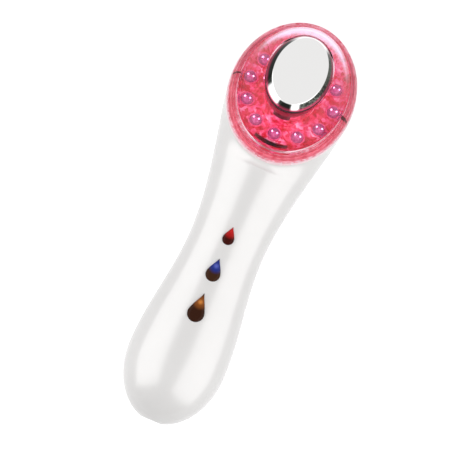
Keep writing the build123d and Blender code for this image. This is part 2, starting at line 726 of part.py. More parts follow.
def key_button(key):
    """Drop-shaped cap, its retaining flange and the stem that presses the switch."""
    centre, seat = key_place(key)
    top = seat - KEY_SEAT_GAP
    low = top - FLANGE_THICKNESS
    shaft = split(key_prism(key, 0, low, 60), bisect_by=key_top_plane(key), keep=Keep.BOTTOM)
    cap = shaft + key_crown(key)
    cap = cap + key_prism(key, FLANGE_REACH, low, top)
    return cap + upright_rod(0, centre, STEM_RADIUS, PLUNGER_TOP, low)


def tact_switch(key):
    centre = key_place(key)[0]
    high = BOARD_TOP + SWITCH_HEIGHT
    body = slab((0, centre), (SWITCH_SIZE, SWITCH_SIZE), BOARD_TOP, high)
    body = chamfer(body.edges().filter_by(Axis.Z), SWITCH_CORNER)
    reach, width, thickness = SOLDER_TAG
    for x in (-1, 1):
        for y in SOLDER_TAG_Y:
            spot = (x * (SWITCH_SIZE + reach) / 2, centre + y)
            body = body + slab(spot, (reach, width), BOARD_TOP, BOARD_TOP + thickness)
    return body - upright_rod(0, centre, PLUNGER_BORE, PLUNGER_WELL, high)


def switch_plunger(key):
    centre = key_place(key)[0]
    rod = upright_rod(0, centre, PLUNGER_RADIUS, PLUNGER_BOTTOM, PLUNGER_TOP)
    return chamfer(rod.edges().group_by(Axis.Z)[0], PLUNGER_EDGE)


def key_led(key):
    """Small surface diode beside a key's switch, towards the tip of the drop."""
    spot = (0, key_place(key)[0] + SWITCH_SIZE / 2 + KEY_LED_GAP)
    width, length, thickness = KEY_LED_BASE
    base_top = BOARD_TOP + thickness
    base = slab(spot, (width, length), BOARD_TOP, base_top)
    width, length, thickness = KEY_LED_LENS
    lens = slab(spot, (width, length), base_top, base_top + thickness)
    return base + chamfer(lens.edges().group_by(Axis.Z)[-1], KEY_LED_EDGE)


def main_board():
    board = block((-BOARD_HALF_WIDTH, BOARD_HALF_WIDTH), (BOARD_START, BOARD_END), (BOARD_UNDER, BOARD_TOP))
    board = fillet(board.edges().filter_by(Axis.Z), BOARD_CORNER)
    for x, y in BOARD_POSTS:
        board = board - upright_rod(x, y, SMALL_SCREW_RADIUS + SCREW_PLAY, BOARD_UNDER - 1, BOARD_TOP + 1)
    return board


def hung(spot, size, depths):
    """Block under the main board, between two depths below it."""
    return slab(spot, size, BOARD_UNDER - depths[1], BOARD_UNDER - depths[0])


def controller_chip():
    body = hung(CHIP_SPOT, CHIP_SIZE, CHIP_DEPTHS)
    body = chamfer(body.edges().group_by(Axis.Z)[0], CHIP_EDGE)
    reach, width, thickness = CHIP_LEG
    for k in range(CHIP_LEGS):
        y = CHIP_SPOT[1] + (k - (CHIP_LEGS - 1) / 2) * CHIP_PITCH
        for side in (-1, 1):
            x = side * (CHIP_SIZE[0] + reach) / 2
            body = body + hung((x, y), (reach, width), (0, thickness))
    return body


def transformer_core():
    """Ferrite core with a window each side of the middle leg."""
    core = hung(CORE_SPOT, CORE_SIZE, CORE_DEPTHS)
    for side in (-1, 1):
        x = side * (CORE_LEG_HALF + CORE_WINDOW_WIDTH / 2)
        window = (CORE_WINDOW_WIDTH, CORE_SIZE[1] + 2)
        core = core - hung((x, CORE_SPOT[1]), window, CORE_WINDOW_DEPTHS)
    return core


def transformer_coil():
    """Winding around the middle leg, on a bobbin that stands on the board."""
    winding = hung(CORE_SPOT, COIL_SIZE, COIL_DEPTHS)
    winding = fillet(winding.edges().filter_by(Axis.Z), COIL_CORNER)
    for side in (-1, 1):
        y = CORE_SPOT[1] + side * (COIL_SIZE[1] - BOBBIN_FOOT) / 2
        winding = winding + hung((0, y), (COIL_SIZE[0], BOBBIN_FOOT), (0, COIL_DEPTHS[0]))
    bore = (2 * CORE_LEG_HALF + 0.1, CORE_SIZE[1] + 0.1)
    return winding - hung(CORE_SPOT, bore, (0, CORE_DEPTHS[1]))


def power_transistor():
    x, y = TRANSISTOR_SPOT
    width, length = TRANSISTOR_SIZE
    body = slab(TRANSISTOR_SPOT, TRANSISTOR_SIZE, BOARD_TOP, BOARD_TOP + TRANSISTOR_HEIGHT)
    body = chamfer(body.edges().group_by(Axis.Z)[-1], CHIP_EDGE)
    foot_top = BOARD_TOP + FOOT_THICKNESS
    tab_y = y + (length + TRANSISTOR_TAB[1]) / 2
    body = body + slab((x, tab_y), TRANSISTOR_TAB, BOARD_TOP, foot_top)
    leg_y = y - (length + TRANSISTOR_LEG[1]) / 2
    for leg_x in (-TRANSISTOR_LEG_X, TRANSISTOR_LEG_X):
        body = body + slab((leg_x, leg_y), TRANSISTOR_LEG, BOARD_TOP, foot_top)
    return body


def smoothing_capacitor():
    can = upright_rod(*CAPACITOR_SPOT, CAPACITOR_RADIUS, BOARD_UNDER - CAPACITOR_LENGTH, BOARD_UNDER)
    return fillet(can.edges().group_by(Axis.Z)[0], CAN_EDGE)


def beeper():
    high = BOARD_TOP + BEEPER_HEIGHT
    can = upright_rod(*BEEPER_SPOT, BEEPER_RADIUS, BOARD_TOP, high)
    can = fillet(can.edges().group_by(Axis.Z)[-1], CAN_EDGE)
    return can - upright_rod(*BEEPER_SPOT, BEEPER_HOLE, high - BEEPER_HOLE_DEPTH, high + 1)


def wire_connector(ends, half_width, opening_end):
    """Wire-to-board connector under the board, open at one end."""
    middle = (ends[0] + ends[1]) / 2
    shell = hung((0, middle), (2 * half_width, ends[1] - ends[0]), (0, PLUG_HEIGHT))
    y = ends[1] - PLUG_POCKET / 2 if opening_end > 0 else ends[0] + PLUG_POCKET / 2
    return shell - hung((0, y), (2 * (half_width - PLUG_WALL), PLUG_POCKET), PLUG_POCKET_DEPTHS)


def battery_cell():
    """Cylindrical cell with its button contact towards the head."""
    start = [(0, 0), (CELL_RADIUS - CELL_EDGE, 0), (CELL_RADIUS, CELL_EDGE)]
    crown = [(CELL_RADIUS - inward, CELL_LENGTH - back) for inward, back in CELL_CROWN]
    button = [(radius, CELL_LENGTH - back) for radius, back in CELL_BUTTON]
    outline = Polyline(*start, *crown, *button, (0, CELL_LENGTH), close=True)
    return Pos(0, CELL_START, CELL_Z) * revolve(make_face(outline), Axis.Y)


def battery_cradle():
    """Moulded trough whose underside follows the back shell."""
    width = (-CRADLE_HALF_WIDTH, CRADLE_HALF_WIDTH)
    high = CELL_Z + CRADLE_RISE
    trough = block(width, (CRADLE_START, CRADLE_END), (0, high))
    trough = trough & body_form(WALL + 0.05)
    trough = trough - lengthwise_rod(CELL_RADIUS + 0.05, CRADLE_START - 1, CRADLE_END + 1, z=CELL_Z)
    for y in CRADLE_SLOTS:
        trough = trough - block((-20, 20), (y, y + CRADLE_SLOT_LENGTH), (CELL_Z - CRADLE_SLOT_DEPTH, high + 1))
    return trough


def battery_tabs():
    """Welded nickel strip at each end of the cell."""
    strips = []
    width = (-TAB_HALF_WIDTH, TAB_HALF_WIDTH)
    for y in (CELL_START - TAB_THICKNESS, CELL_START + CELL_LENGTH):
        strip = block(width, (y, y + TAB_THICKNESS), (CELL_Z - TAB_BELOW, CELL_Z + TAB_ABOVE))
        strips.append(fillet(strip.edges().filter_by(Axis.Y), TAB_CORNER))
    return strips


def charge_socket():
    body = lengthwise_rod(SOCKET_RADIUS, SOCKET_START, SOCKET_LENGTH)
    body = body + lengthwise_rod(SOCKET_FLANGE_RADIUS, *SOCKET_FLANGE)
    body = chamfer(body.edges().group_by(Axis.Y)[0], SOCKET_EDGE)
    body = body - lengthwise_rod(SOCKET_BORE, -1, SOCKET_BORE_DEPTH)
    body = body - lengthwise_rod(PIN_SHANK_RADIUS, SOCKET_BORE_DEPTH - 1, SOCKET_LENGTH + 1)
    half = SPRING_SLOT_WIDTH / 2
    across = (SOCKET_BORE + SPRING_SLOT[0], SOCKET_BORE + SPRING_SLOT[1])
    return body - block(across, (SPRING_SLOT_START, SOCKET_LENGTH + 1), (AXIS_Z - half, AXIS_Z + half))


def socket_pin():
    """Round-nosed contact pin with a thinner shank through the back of the socket."""
    rod = lengthwise_rod(PIN_RADIUS, PIN_START, SOCKET_BORE_DEPTH)
    rod = fillet(rod.edges().group_by(Axis.Y)[0], PIN_NOSE)
    return rod + lengthwise_rod(PIN_SHANK_RADIUS, SOCKET_BORE_DEPTH, SOCKET_LENGTH + PIN_TAIL)


def socket_spring():
    """Leaf contact that lies along the bore's side wall."""
    low = AXIS_Z - SPRING_WIDTH / 2
    across = (SOCKET_BORE + SPRING_DEPTH[0], SOCKET_BORE + SPRING_DEPTH[1])
    leaf = block(across, (SPRING_START, SOCKET_LENGTH + SPRING_TAIL), (low, low + SPRING_WIDTH))
    nose = extrude(Pos(SOCKET_BORE, SPRING_NOSE_Y, low) * Circle(SPRING_NOSE), SPRING_WIDTH)
    return leaf + nose


def lead(points, radius):
    """Round lead along straight runs joined by tangent arcs."""
    path = FilletPolyline(*points, radius=radius)
    start = Plane(origin=path @ 0, z_dir=path % 0)
    return sweep(start * Circle(LEAD_RADIUS), path)


def head_point(x, y, height):
    return HEAD_PLANE.from_local_coords((x, y, height))


def transducer_leads():
    disc_back = PROBE_HEIGHT - FACE_THICKNESS - DISC_THICKNESS
    leads = []
    for x in (-TRANSDUCER_LEAD_X, TRANSDUCER_LEAD_X):
        start = [head_point(x, 0, disc_back), head_point(x, 0, TRANSDUCER_LEAD_DROP)]
        turns = [(x, y, z) for y, z in TRANSDUCER_LEAD_TURNS]
        route = start + turns + [(x, HEAD_PLUG[1], PLUG_LEAD_Z)]
        leads.append(lead(route, TRANSDUCER_LEAD_BEND))
    return leads


def led_leads():
    under = LED_BOARD_TOP - BOARD_THICKNESS
    leads = []
    for x in (-LED_LEAD_X, LED_LEAD_X):
        start = head_point(x, LED_LEAD_Y, under)
        below = head_point(x, LED_LEAD_Y, under - LED_LEAD_DROP)
        leads.append(lead([start, below, (x, *LED_LEAD_TURN), (x, HEAD_PLUG[1], PLUG_LEAD_Z)], LED_LEAD_BEND))
    return leads


def battery_leads():
    """From the top of each strip, between cell and board, to the connector."""
    low = CELL_Z + TAB_ABOVE
    high = low + BATTERY_LEAD_RISE
    front_y = CELL_START + CELL_LENGTH + TAB_THICKNESS / 2
    rear_y = CELL_START - TAB_THICKNESS / 2
    leads = []
    for x, y, end in ((BATTERY_LEAD_X, front_y, BATTERY_PLUG[1]), (-BATTERY_LEAD_X, rear_y, BATTERY_PLUG[0])):
        leads.append(lead([(x, y, low), (x, y, high), (x, end, high)], BATTERY_LEAD_BEND))
    return leads


def pieces():
    """Every node's name with its solid or solids."""
    made = {
        "front_shell": front_shell(),
        "back_shell": back_shell(),
        "housing_screws": [housing_screw(x, y) for x, y in HOUSING_SCREWS],
        "screw_plugs": [screw_plug(x, y) for x, y in HOUSING_SCREWS],
        "lens_seal": lens_seal(),
        "light_lens": light_lens(),
        "reflector": reflector(),
        "led_board": led_board(),
        "probe_cap": probe_cap(),
        "probe_gasket": probe_gasket(),
        "piezo_disc": piezo_disc(),
        "probe_clamp": probe_clamp(),
        "main_board": main_board(),
        "controller_chip": controller_chip(),
        "transformer_core": transformer_core(),
        "transformer_coil": transformer_coil(),
        "power_transistor": power_transistor(),
        "smoothing_capacitor": smoothing_capacitor(),
        "beeper": beeper(),
        "head_connector": wire_connector(HEAD_PLUG, HEAD_PLUG_HALF_WIDTH, 1),
        "battery_connector": wire_connector(BATTERY_PLUG, BATTERY_PLUG_HALF_WIDTH, -1),
        "battery_cell": battery_cell(),
        "battery_cradle": battery_cradle(),
        "battery_tabs": battery_tabs(),
        "charge_socket": charge_socket(),
        "socket_pin": socket_pin(),
        "socket_spring": socket_spring(),
        "transducer_leads": transducer_leads(),
        "led_leads": led_leads(),
        "battery_leads": battery_leads(),
    }
    for number, (x, y) in enumerate(led_positions(), 1):
        made[f"led_{number:02d}"] = light_diode(x, y)
    for key in KEYS:
        name = key[0]
        made[f"{name}_button"] = key_button(key)
        made[f"{name}_switch"] = tact_switch(key)
        made[f"{name}_plunger"] = switch_plunger(key)
        made[f"{name}_key_led"] = key_led(key)
    made["board_screws"] = [small_screw(Plane((x, y, BOARD_UNDER)), BOARD_SCREW_LENGTH) for x, y in BOARD_POSTS]
    low = LED_BOARD_TOP - BOARD_THICKNESS
    led_places = [HEAD_PLANE.offset(low) * Pos(x, y) for x, y in LED_POSTS]
    made["led_board_screws"] = [small_screw(place, LED_SCREW_LENGTH) for place in led_places]
    clamp_low = PROBE_NECK_END - CLAMP_FLOOR
    screw_places = [HEAD_PLANE.offset(clamp_low) * Pos(0, y) for y in (-PROBE_SCREW_Y, PROBE_SCREW_Y)]
    made["probe_screws"] = [small_screw(place, PROBE_SCREW_LENGTH) for place in screw_places]
    return made


def write(made):
    os.makedirs("parts", exist_ok=True)
    for name, shape in made.items():
        solids = ShapeList(shape if isinstance(shape, list) else [shape]).solids()
        placed = Pos(0, -LENGTH / 2, REST_LIFT) * Compound(children=list(solids))
        export_step(placed, f"parts/{name}.step")


write(pieces())
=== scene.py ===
import json
from math import acos, cos, pi, radians, sin, sqrt, tan

import bpy
import bmesh
from mathutils import Matrix, Vector


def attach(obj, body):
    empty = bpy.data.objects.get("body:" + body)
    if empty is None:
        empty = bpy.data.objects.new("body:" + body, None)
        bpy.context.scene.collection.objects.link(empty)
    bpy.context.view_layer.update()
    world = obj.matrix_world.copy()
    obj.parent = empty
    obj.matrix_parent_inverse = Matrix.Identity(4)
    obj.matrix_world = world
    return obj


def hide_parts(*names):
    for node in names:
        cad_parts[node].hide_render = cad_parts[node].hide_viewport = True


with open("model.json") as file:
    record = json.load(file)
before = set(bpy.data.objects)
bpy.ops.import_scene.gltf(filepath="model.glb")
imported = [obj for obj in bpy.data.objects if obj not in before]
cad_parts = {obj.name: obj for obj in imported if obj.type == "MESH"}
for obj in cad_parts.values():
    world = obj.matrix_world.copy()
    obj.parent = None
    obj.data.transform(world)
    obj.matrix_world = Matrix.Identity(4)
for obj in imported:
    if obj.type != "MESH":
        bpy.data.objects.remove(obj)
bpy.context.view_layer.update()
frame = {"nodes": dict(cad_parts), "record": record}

MM = 0.001
HANDLE = "handle"

# The part's own dimensions, in millimetres, with Y = 0 at the tail end
LENGTH = 190.46
REST_LIFT = 0.03
AXIS_Z = 19.5
GRIP_Y = 29.0
GRIP_HALF_WIDTH = 22.4
GRIP_HALF_DEPTH = 19.5
TAIL_REACH = 29.8
WAIST_Y = 84.0
WAIST_HALF_WIDTH = 17.3
WAIST_FRONT = 15.5
WAIST_BACK = 16.0
SHOULDER_FRONT = 20.0
HEAD_Y = 156.5
HEAD_Z = 24.0
HEAD_HALF_WIDTH = 28.2
HEAD_HALF_LENGTH = 36.0
HEAD_TILT = radians(26.0)
HEAD_UP = Vector((0, sin(HEAD_TILT), cos(HEAD_TILT)))
HEAD_ALONG = Vector((0, cos(HEAD_TILT), -sin(HEAD_TILT)))
FAN_GAP = 3.5
FAN_ANGLE = pi / 2 - HEAD_TILT
PIVOT_Y = HEAD_Y - (HEAD_HALF_LENGTH + FAN_GAP) * cos(HEAD_TILT)
PIVOT_Z = HEAD_Z + (HEAD_HALF_LENGTH + FAN_GAP) * sin(HEAD_TILT)
TIP_ROUNDING = 8.0
WALL = 2.0
TAIL_WALL = 2.4
PARTING_DEPTH = 6.0
PARTING_RADIUS = 60.0
SEAM_HALF_GAP = 0.05
HOUSING_SCREWS = [(x, y) for y, half in ((18.0, 11.0), (127.0, 14.5)) for x in (-half, half)]
PLUG_RADIUS = 2.65
PLUG_LENGTH = 7.0
PLUG_GAP = 0.08
PLUG_BEVEL = 0.25
SCREW_SEAT_Z = 9.0

LENS_SIDE = [(1.5, 28.0, 35.7), (4.2, 27.8, 35.5), (7.6, 26.2, 33.8)]
LENS_ROOF = [(8.4, 24.2, 31.8), (13.2, 21.0, 28.0), (17.2, 17.8, 24.0), (20.0, 15.0, 20.8)]
ROOF_INSET = 1.4
GASKET_THICKNESS = 0.5
GASKET_MARGIN = 0.2
GASKET_GAP = 0.05
COLLAR_HOLE = (12.4, 18.0)
LENS_WALL = 2.0
SPIGOT_OUTER = (26.1, 33.8)
SPIGOT_INNER = (24.6, 32.3)
SPIGOT_DEPTH = 2.5
SEAL_HEIGHT = 1.5
SEAL_OVERHANG = 0.1
FOOT_LIMIT = SEAL_HEIGHT + 0.02

# Dark marks of painted shade where the lens is latched, as (side, distance along the opening)
LATCH_SHADE_MARKS = [(-1, -4.2), (1, -4.5)]
LATCH_HALF = 0.75
LATCH_HEIGHTS = (5.0, 8.4)

REFLECTOR_SLOT = ((26.0, 27.0), (24.6, 24.9))
REFLECTOR_SLOT_WIDTH = 15.0
COLUMN_OUTER = (12.0, 17.0)
COLUMN_WALL = 1.2
COLUMN_TOP = 15.0
FLUTE_DEPTH = 0.18
FLUTE_COUNT = 72

# Patch of painted shade on the tail side of the reflector's column
COLUMN_SHADE_HEIGHTS = (7.6, 12.3)
COLUMN_SHADE_HALF_WIDTH = 3.8
COLUMN_SHADE_ALONG = -15.9

# Diodes, each painted dark as shade up to a skirt's height over the board, with a painted glint on either
# side of its axis
LED_COUNT = 12
LED_RING = (19.6, 21.4)
LED_BOARD_TOP = -5.0
LED_RADIUS = 2.5
LED_FLANGE_RADIUS = 2.9
LED_LENGTH = 8.6
LED_HOLE_RADIUS = 2.7
LED_SHADE_TOP = 4.2
GLINT_SIDE = 1.1

PROBE_BASE = (14.1, 19.6)
PROBE_LIP = 0.4
PROBE_FACE = (11.5, 17.4)
PROBE_SEAT = LENS_ROOF[-1][0] + GASKET_THICKNESS
PROBE_HEIGHT = 23.6
PROBE_NECK = (11.0, 16.6)
PROBE_CAVITY = (9.8, 15.4)
PROBE_NECK_END = 16.8
FACE_THICKNESS = 1.2

# Keys, as (name, middle Y, length, width)
KEYS = [
    ("red", 88.4, 8.1, 5.0),
    ("blue", 72.1, 10.5, 6.3),
    ("amber", 54.1, 13.2, 7.4),
]
KEY_GAP = 0.15
KEY_RIM = 0.2
KEY_DOME = 1.0
KEY_FULLNESS = 0.75
KEY_SEAT_GAP = 0.05
DROP_SHOULDER = radians(18)
FLANGE_THICKNESS = 0.8
FLANGE_REACH = 0.9
STEM_RADIUS = 1.2
PLUNGER_TOP = 31.0

SOCKET_RADIUS = 3.9
SOCKET_LENGTH = 12.0
SOCKET_BORE = 2.9
SOCKET_BORE_DEPTH = 9.0
SOCKET_HOLE = 4.0
SOCKET_FLANGE_RADIUS = 4.6
SOCKET_FLANGE = (2.5, 3.6)
PIN_RADIUS = 1.0

# Points around a ring of the body and of the head's pieces
AROUND = 160
HEAD_AROUND = 192
LENS_AROUND = 224
REFLECTOR_AROUND = 288

# Picture's size and where it shows the middle of the oblique opening, in pixels, and the
# size of a pixel there in millimetres
PICTURE = (473, 474)
HEAD_PIXEL = (291.26, 95.76)
PIXEL_SIZE = 0.4436

# Camera, with its distance in metres and its sensor in millimetres
CAMERA_LEAN = radians(1.0)
CAMERA_SIDE_LEAN = radians(1.5)
CAMERA_ROLL = radians(23.5)
CAMERA_DISTANCE = 2.0
SENSOR_WIDTH = 36.0

# Soft boxes in metres and watts, as (name, place, width, length, power, turn about their axis)
SOFT_BOXES = [
    ("box_left", (-0.57, -0.07, 0.43), 0.86, 1.15, 4.25, radians(6)),
    ("box_right", (0.58, -0.07, 0.405), 1.0, 1.15, 4.6, 0.0),
]
LIGHT_AIM = (0, 0, 0.02)
FLOOR_HALF = 3.0

# Strength of the white surroundings, as (where they are seen, where they light the object)
FLOOR_GLOW = (0.82, 0.0)
WORLD_GLOW = (1.0, 0.15)


def place(x, y, z):
    """A point of the part, moved to the frame's place and to metres."""
    return Vector((x * MM, (y - LENGTH / 2) * MM, (z + REST_LIFT) * MM))


def head_point(x, y, height):
    """A point given across, along and above the oblique opening."""
    along = HEAD_Y + y * cos(HEAD_TILT) + height * sin(HEAD_TILT)
    up = HEAD_Z - y * sin(HEAD_TILT) + height * cos(HEAD_TILT)
    return place(x, along, up)


# Formulas of the body, as in the part


def ease(t):
    """Share that starts and ends softly."""
    t = min(max(t, 0.0), 1.0)
    return (1 - cos(pi * t)) / 2


def half_width(y):
    if y <= WAIST_Y:
        swell = 1 - ease((y - GRIP_Y) / (WAIST_Y - GRIP_Y))
        return WAIST_HALF_WIDTH + (GRIP_HALF_WIDTH - WAIST_HALF_WIDTH) * swell
    t = (y - WAIST_Y) / (HEAD_Y - WAIST_Y)
    return WAIST_HALF_WIDTH + (HEAD_HALF_WIDTH - WAIST_HALF_WIDTH) * t * t * (2.3 - 1.3 * t)


def front_height(y):
    if y <= WAIST_Y:
        swell = 1 - ease((y - GRIP_Y) / (WAIST_Y - GRIP_Y))
        return WAIST_FRONT + (GRIP_HALF_DEPTH - WAIST_FRONT) * swell
    t = (y - WAIST_Y) / (PIVOT_Y - WAIST_Y)
    return WAIST_FRONT + (SHOULDER_FRONT - WAIST_FRONT) * t * t * (1.6 - 0.6 * t)


def back_depth(y):
    swell = ease(abs(y - WAIST_Y) / (WAIST_Y - GRIP_Y))
    return WAIST_BACK + (GRIP_HALF_DEPTH - WAIST_BACK) * swell


def handle_section(y, inset):
    """Upright oval of the handle, as (tilt, y, z, half width, half depth)."""
    tail = max(GRIP_Y - y, 0) / (TAIL_REACH - inset)
    scale = sqrt(1 - tail * tail)
    front = front_height(y)
    back = back_depth(y)
    width = (half_width(y) - inset) * scale
    depth = ((front + back) / 2 - inset) * scale
    return 0.0, y, AXIS_Z + (front - back) / 2, width, depth


def floor_reach(angle):
    """Distance from the fan's pivot down to the back of the body."""
    y_floor = PIVOT_Y + PIVOT_Z * tan(angle)
    return (PIVOT_Z - AXIS_Z + back_depth(y_floor)) / cos(angle)


def fan_section(angle, inset):
    """Tilted oval of the head, in the same form as the handle's."""
    full = 2 * HEAD_HALF_LENGTH + FAN_GAP
    end_floor = floor_reach(FAN_ANGLE)
    tip_wall = (full**-TIP_ROUNDING - end_floor**-TIP_ROUNDING) ** (-1 / TIP_ROUNDING)
    near = PIVOT_Z - AXIS_Z - SHOULDER_FRONT
    near += (FAN_GAP - near) * angle / FAN_ANGLE
    tip = tip_wall / cos(FAN_ANGLE - angle)
    far = (floor_reach(angle)**-TIP_ROUNDING + tip**-TIP_ROUNDING) ** (-1 / TIP_ROUNDING)
    middle = (near + far) / 2
    y = PIVOT_Y + middle * sin(angle)
    z = PIVOT_Z - middle * cos(angle)
    return angle, y, z, half_width(y) - inset, (far - near) / 2 - inset


def body_rings(inset, tail_steps, handle_steps, fan_steps, around):
    """Rings of the body's surface, moved inwards, from the tail to the oblique opening."""
    reach = TAIL_REACH - inset
    start = TAIL_WALL / WALL * inset
    first = acos((GRIP_Y - start) / reach)
    sections = []
    for k in range(tail_steps):
        turn = first + (pi / 2 - first) * k / tail_steps
        sections.append(handle_section(GRIP_Y - reach * cos(turn), inset))
    for k in range(handle_steps):
        sections.append(handle_section(GRIP_Y + (PIVOT_Y - GRIP_Y) * k / handle_steps, inset))
    for k in range(fan_steps + 1):
        sections.append(fan_section(FAN_ANGLE * k / fan_steps, inset))
    rings = []
    for angle, y, z, width, depth in sections:
        ring = []
        for k in range(around):
            turn = 2 * pi * k / around
            sag = -depth * cos(turn)
            ring.append(place(width * sin(turn), y + sag * sin(angle), z - sag * cos(angle)))
        rings.append(ring)
    return rings


# Mesh helpers


def mesh_object(name, verts, faces):
    """New object in the scene, with its faces turned outwards."""
    mesh = bpy.data.meshes.new(name)
    mesh.from_pydata(verts, [], faces)
    work = bmesh.new()
    work.from_mesh(mesh)
    bmesh.ops.recalc_face_normals(work, faces=work.faces)
    work.to_mesh(mesh)
    work.free()
    obj = bpy.data.objects.new(name, mesh)
    bpy.context.scene.collection.objects.link(obj)
    return obj


def ring_faces(count, around, closed=False):
    """Quads between rings of points, and from the last back to the first if closed."""
    faces = []
    for r in range(count if closed else count - 1):
        upper = (r + 1) % count
        for k in range(around):
            j = (k + 1) % around
            faces.append((r * around + k, r * around + j, upper * around + j, upper * around + k))
    return faces


def ring_solid(name, rings, closed=False):
    """Solid through rings of points, with a centre point at each end unless closed."""
    around = len(rings[0])
    verts = [point for ring in rings for point in ring]
    faces = ring_faces(len(rings), around, closed)
    if not closed:
        for ring, base in ((rings[0], 0), (rings[-1], (len(rings) - 1) * around)):
            centre = sum(ring, Vector()) / around
            verts.append(centre)
            tip = len(verts) - 1
            faces += [(base + k, base + (k + 1) % around, tip) for k in range(around)]
    return mesh_object(name, verts, faces)


def flat_ended(name, rings):
    """Solid between two rings of points, closed by a flat face at each end."""
    count = len(rings[0])
    faces = ring_faces(2, count) + [tuple(range(count)), tuple(range(count, 2 * count))]
    return mesh_object(name, [point for ring in rings for point in ring], faces)


def joined(name, objects):
    """One object from several, which it takes the place of."""
    work = bmesh.new()
    for obj in objects:
        work.from_mesh(obj.data)
    mesh = bpy.data.meshes.new(name)
    work.to_mesh(mesh)
    work.free()
    for obj in objects:
        bpy.data.objects.remove(obj)
    result = bpy.data.objects.new(name, mesh)
    bpy.context.scene.collection.objects.link(result)
    return result


def with_modifiers(obj):
    """Applies an object's modifiers to its mesh."""
    graph = bpy.context.evaluated_depsgraph_get()
    mesh = bpy.data.meshes.new_from_object(obj.evaluated_get(graph))
    obj.modifiers.clear()
    obj.data = mesh


def boolean(obj, cutters, operation="DIFFERENCE", keep=False):
    """Cuts an object with others, which are then removed unless kept."""
    for cutter in cutters:
        step = obj.modifiers.new("cut", "BOOLEAN")
        step.operation = operation
        step.solver = "EXACT"
        step.object = cutter
    with_modifiers(obj)
    if not keep:
        for cutter in cutters:
            bpy.data.objects.remove(cutter)


def head_rings(profile, around):
    """Rings about the head's own axis, from (height, half width, half length)."""
    rings = []
    for height, width, length in profile:
        rings.append([
            head_point(width * sin(2 * pi * k / around), length * cos(2 * pi * k / around), height)
            for k in range(around)
        ])
    return rings


def spun(name, profile, spot, around=32, closed=False):
    """Turned solid from (radius, height) pairs; spot gives a point from x, y and height."""
    rings = []
    for radius, height in profile:
        rings.append([
            spot(radius * sin(2 * pi * k / around), radius * cos(2 * pi * k / around), height)
            for k in range(around)
        ])
    return ring_solid(name, rings, closed)


def smooth_line(points, steps):
    """Smooth curve through the given points, in a number of steps between each two."""
    ends = [points[0]] + list(points) + [points[-1]]
    line = []
    for i in range(1, len(ends) - 2):
        p0, p1, p2, p3 = (Vector(p) for p in ends[i - 1:i + 3])
        for k in range(steps):
            t = k / steps
            line.append(0.5 * ((2 * p1) + (p2 - p0) * t + (2 * p0 - 5 * p1 + 4 * p2 - p3) * t * t
                               + (3 * p1 - p0 - 3 * p2 + p3) * t * t * t))
    line.append(Vector(points[-1]))
    return [tuple(p) for p in line]


def round_corners(points, radius, steps=5):
    """Cuts each inner corner of a profile and puts a short curve there."""
    line = [Vector(points[0])]
    for i in range(1, len(points) - 1):
        corner = Vector(points[i])
        before = Vector(points[i - 1]) - corner
        after = Vector(points[i + 1]) - corner
        reach = min(radius, before.length / 2.2, after.length / 2.2)
        start = corner + before.normalized() * reach
        end = corner + after.normalized() * reach
        for k in range(steps + 1):
            t = k / steps
            line.append(start * (1 - t) ** 2 + corner * 2 * t * (1 - t) + end * t * t)
    line.append(Vector(points[-1]))
    return [tuple(p) for p in line]


def finish_piece(obj, nodes, body, material, angle):
    """Gives a piece its material and body, hides the nodes it takes the place of, and makes edges sharp
    past an angle.
    """
    mesh = obj.data
    mesh.materials.clear()
    mesh.materials.append(material)
    mesh.shade_smooth()
    mesh.set_sharp_from_angle(angle=radians(angle))
    if nodes:
        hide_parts(*nodes)
    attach(obj, body)


# Node helpers


def feed(owner, socket, source):
    """Gives a socket another node's output, or a value of its own."""
    if isinstance(source, bpy.types.NodeSocket):
        owner.node_tree.links.new(source, socket)
    elif isinstance(source, tuple) and socket.type == "RGBA":
        socket.default_value = (*source, 1.0)
    else:
        socket.default_value = source


def node(owner, kind, **settings):
    """New node, with its own properties set and its sockets fed."""
    made = owner.node_tree.nodes.new("ShaderNode" + kind)
    for key, value in settings.items():
        if hasattr(made, key):
            setattr(made, key, value)
        else:
            feed(owner, made.inputs[key.replace("_", " ")], value)
    return made


def arithmetic(owner, operation, *sources, kind="Math", result="Value"):
    """Output of a sum on numbers, vectors or other outputs."""
    made = node(owner, kind, operation=operation)
    for socket, source in zip(made.inputs, sources):
        feed(owner, socket, source)
    return made.outputs[result]


def noise_share(owner, where, scale, detail):
    """Soft cloudy pattern between 0 and 1."""
    return node(owner, "TexNoise", Vector=where, Scale=scale, Detail=detail).outputs["Fac"]


def share_between(owner, value, low, high, top=1.0, **settings):
    """How far a value is from low to high, from 0 to the given top."""
    spread = node(
        owner, "MapRange", Value=value, From_Min=low, From_Max=high, To_Min=0.0, To_Max=top, **settings
    )
    return spread.outputs["Result"]


def colour_ramp(owner, share, stops, interpolation="LINEAR"):
    """Colour that runs through (position, colour) stops."""
    made = node(owner, "ValToRGB", Fac=share)
    made.color_ramp.interpolation = interpolation
    elements = made.color_ramp.elements
    elements[0].position = stops[0][0]
    elements[1].position = stops[-1][0]
    for position, _ in stops[1:-1]:
        elements.new(position)
    for element, (_, colour) in zip(elements, stops):
        element.color = (*colour, 1.0)
    return made.outputs["Color"]


def mixed(owner, share, first, second, blend_type="MIX"):
    """Colour between two, through the sockets that a mix has for colours."""
    made = node(owner, "Mix", data_type="RGBA", blend_type=blend_type)
    for number, source in ((0, share), (6, first), (7, second)):
        feed(owner, made.inputs[number], source)
    return made.outputs[2]


# Materials


def dress(material, **sources):
    """Feeds the sockets of a material's shader."""
    shader = material.node_tree.nodes["Principled BSDF"]
    for key, source in sources.items():
        feed(material, shader.inputs[key.replace("_", " ")], source)


def principled(name, **values):
    """New material with values set on its shader."""
    material = bpy.data.materials.new(name)
    material.use_nodes = True
    dress(material, **values)
    return material


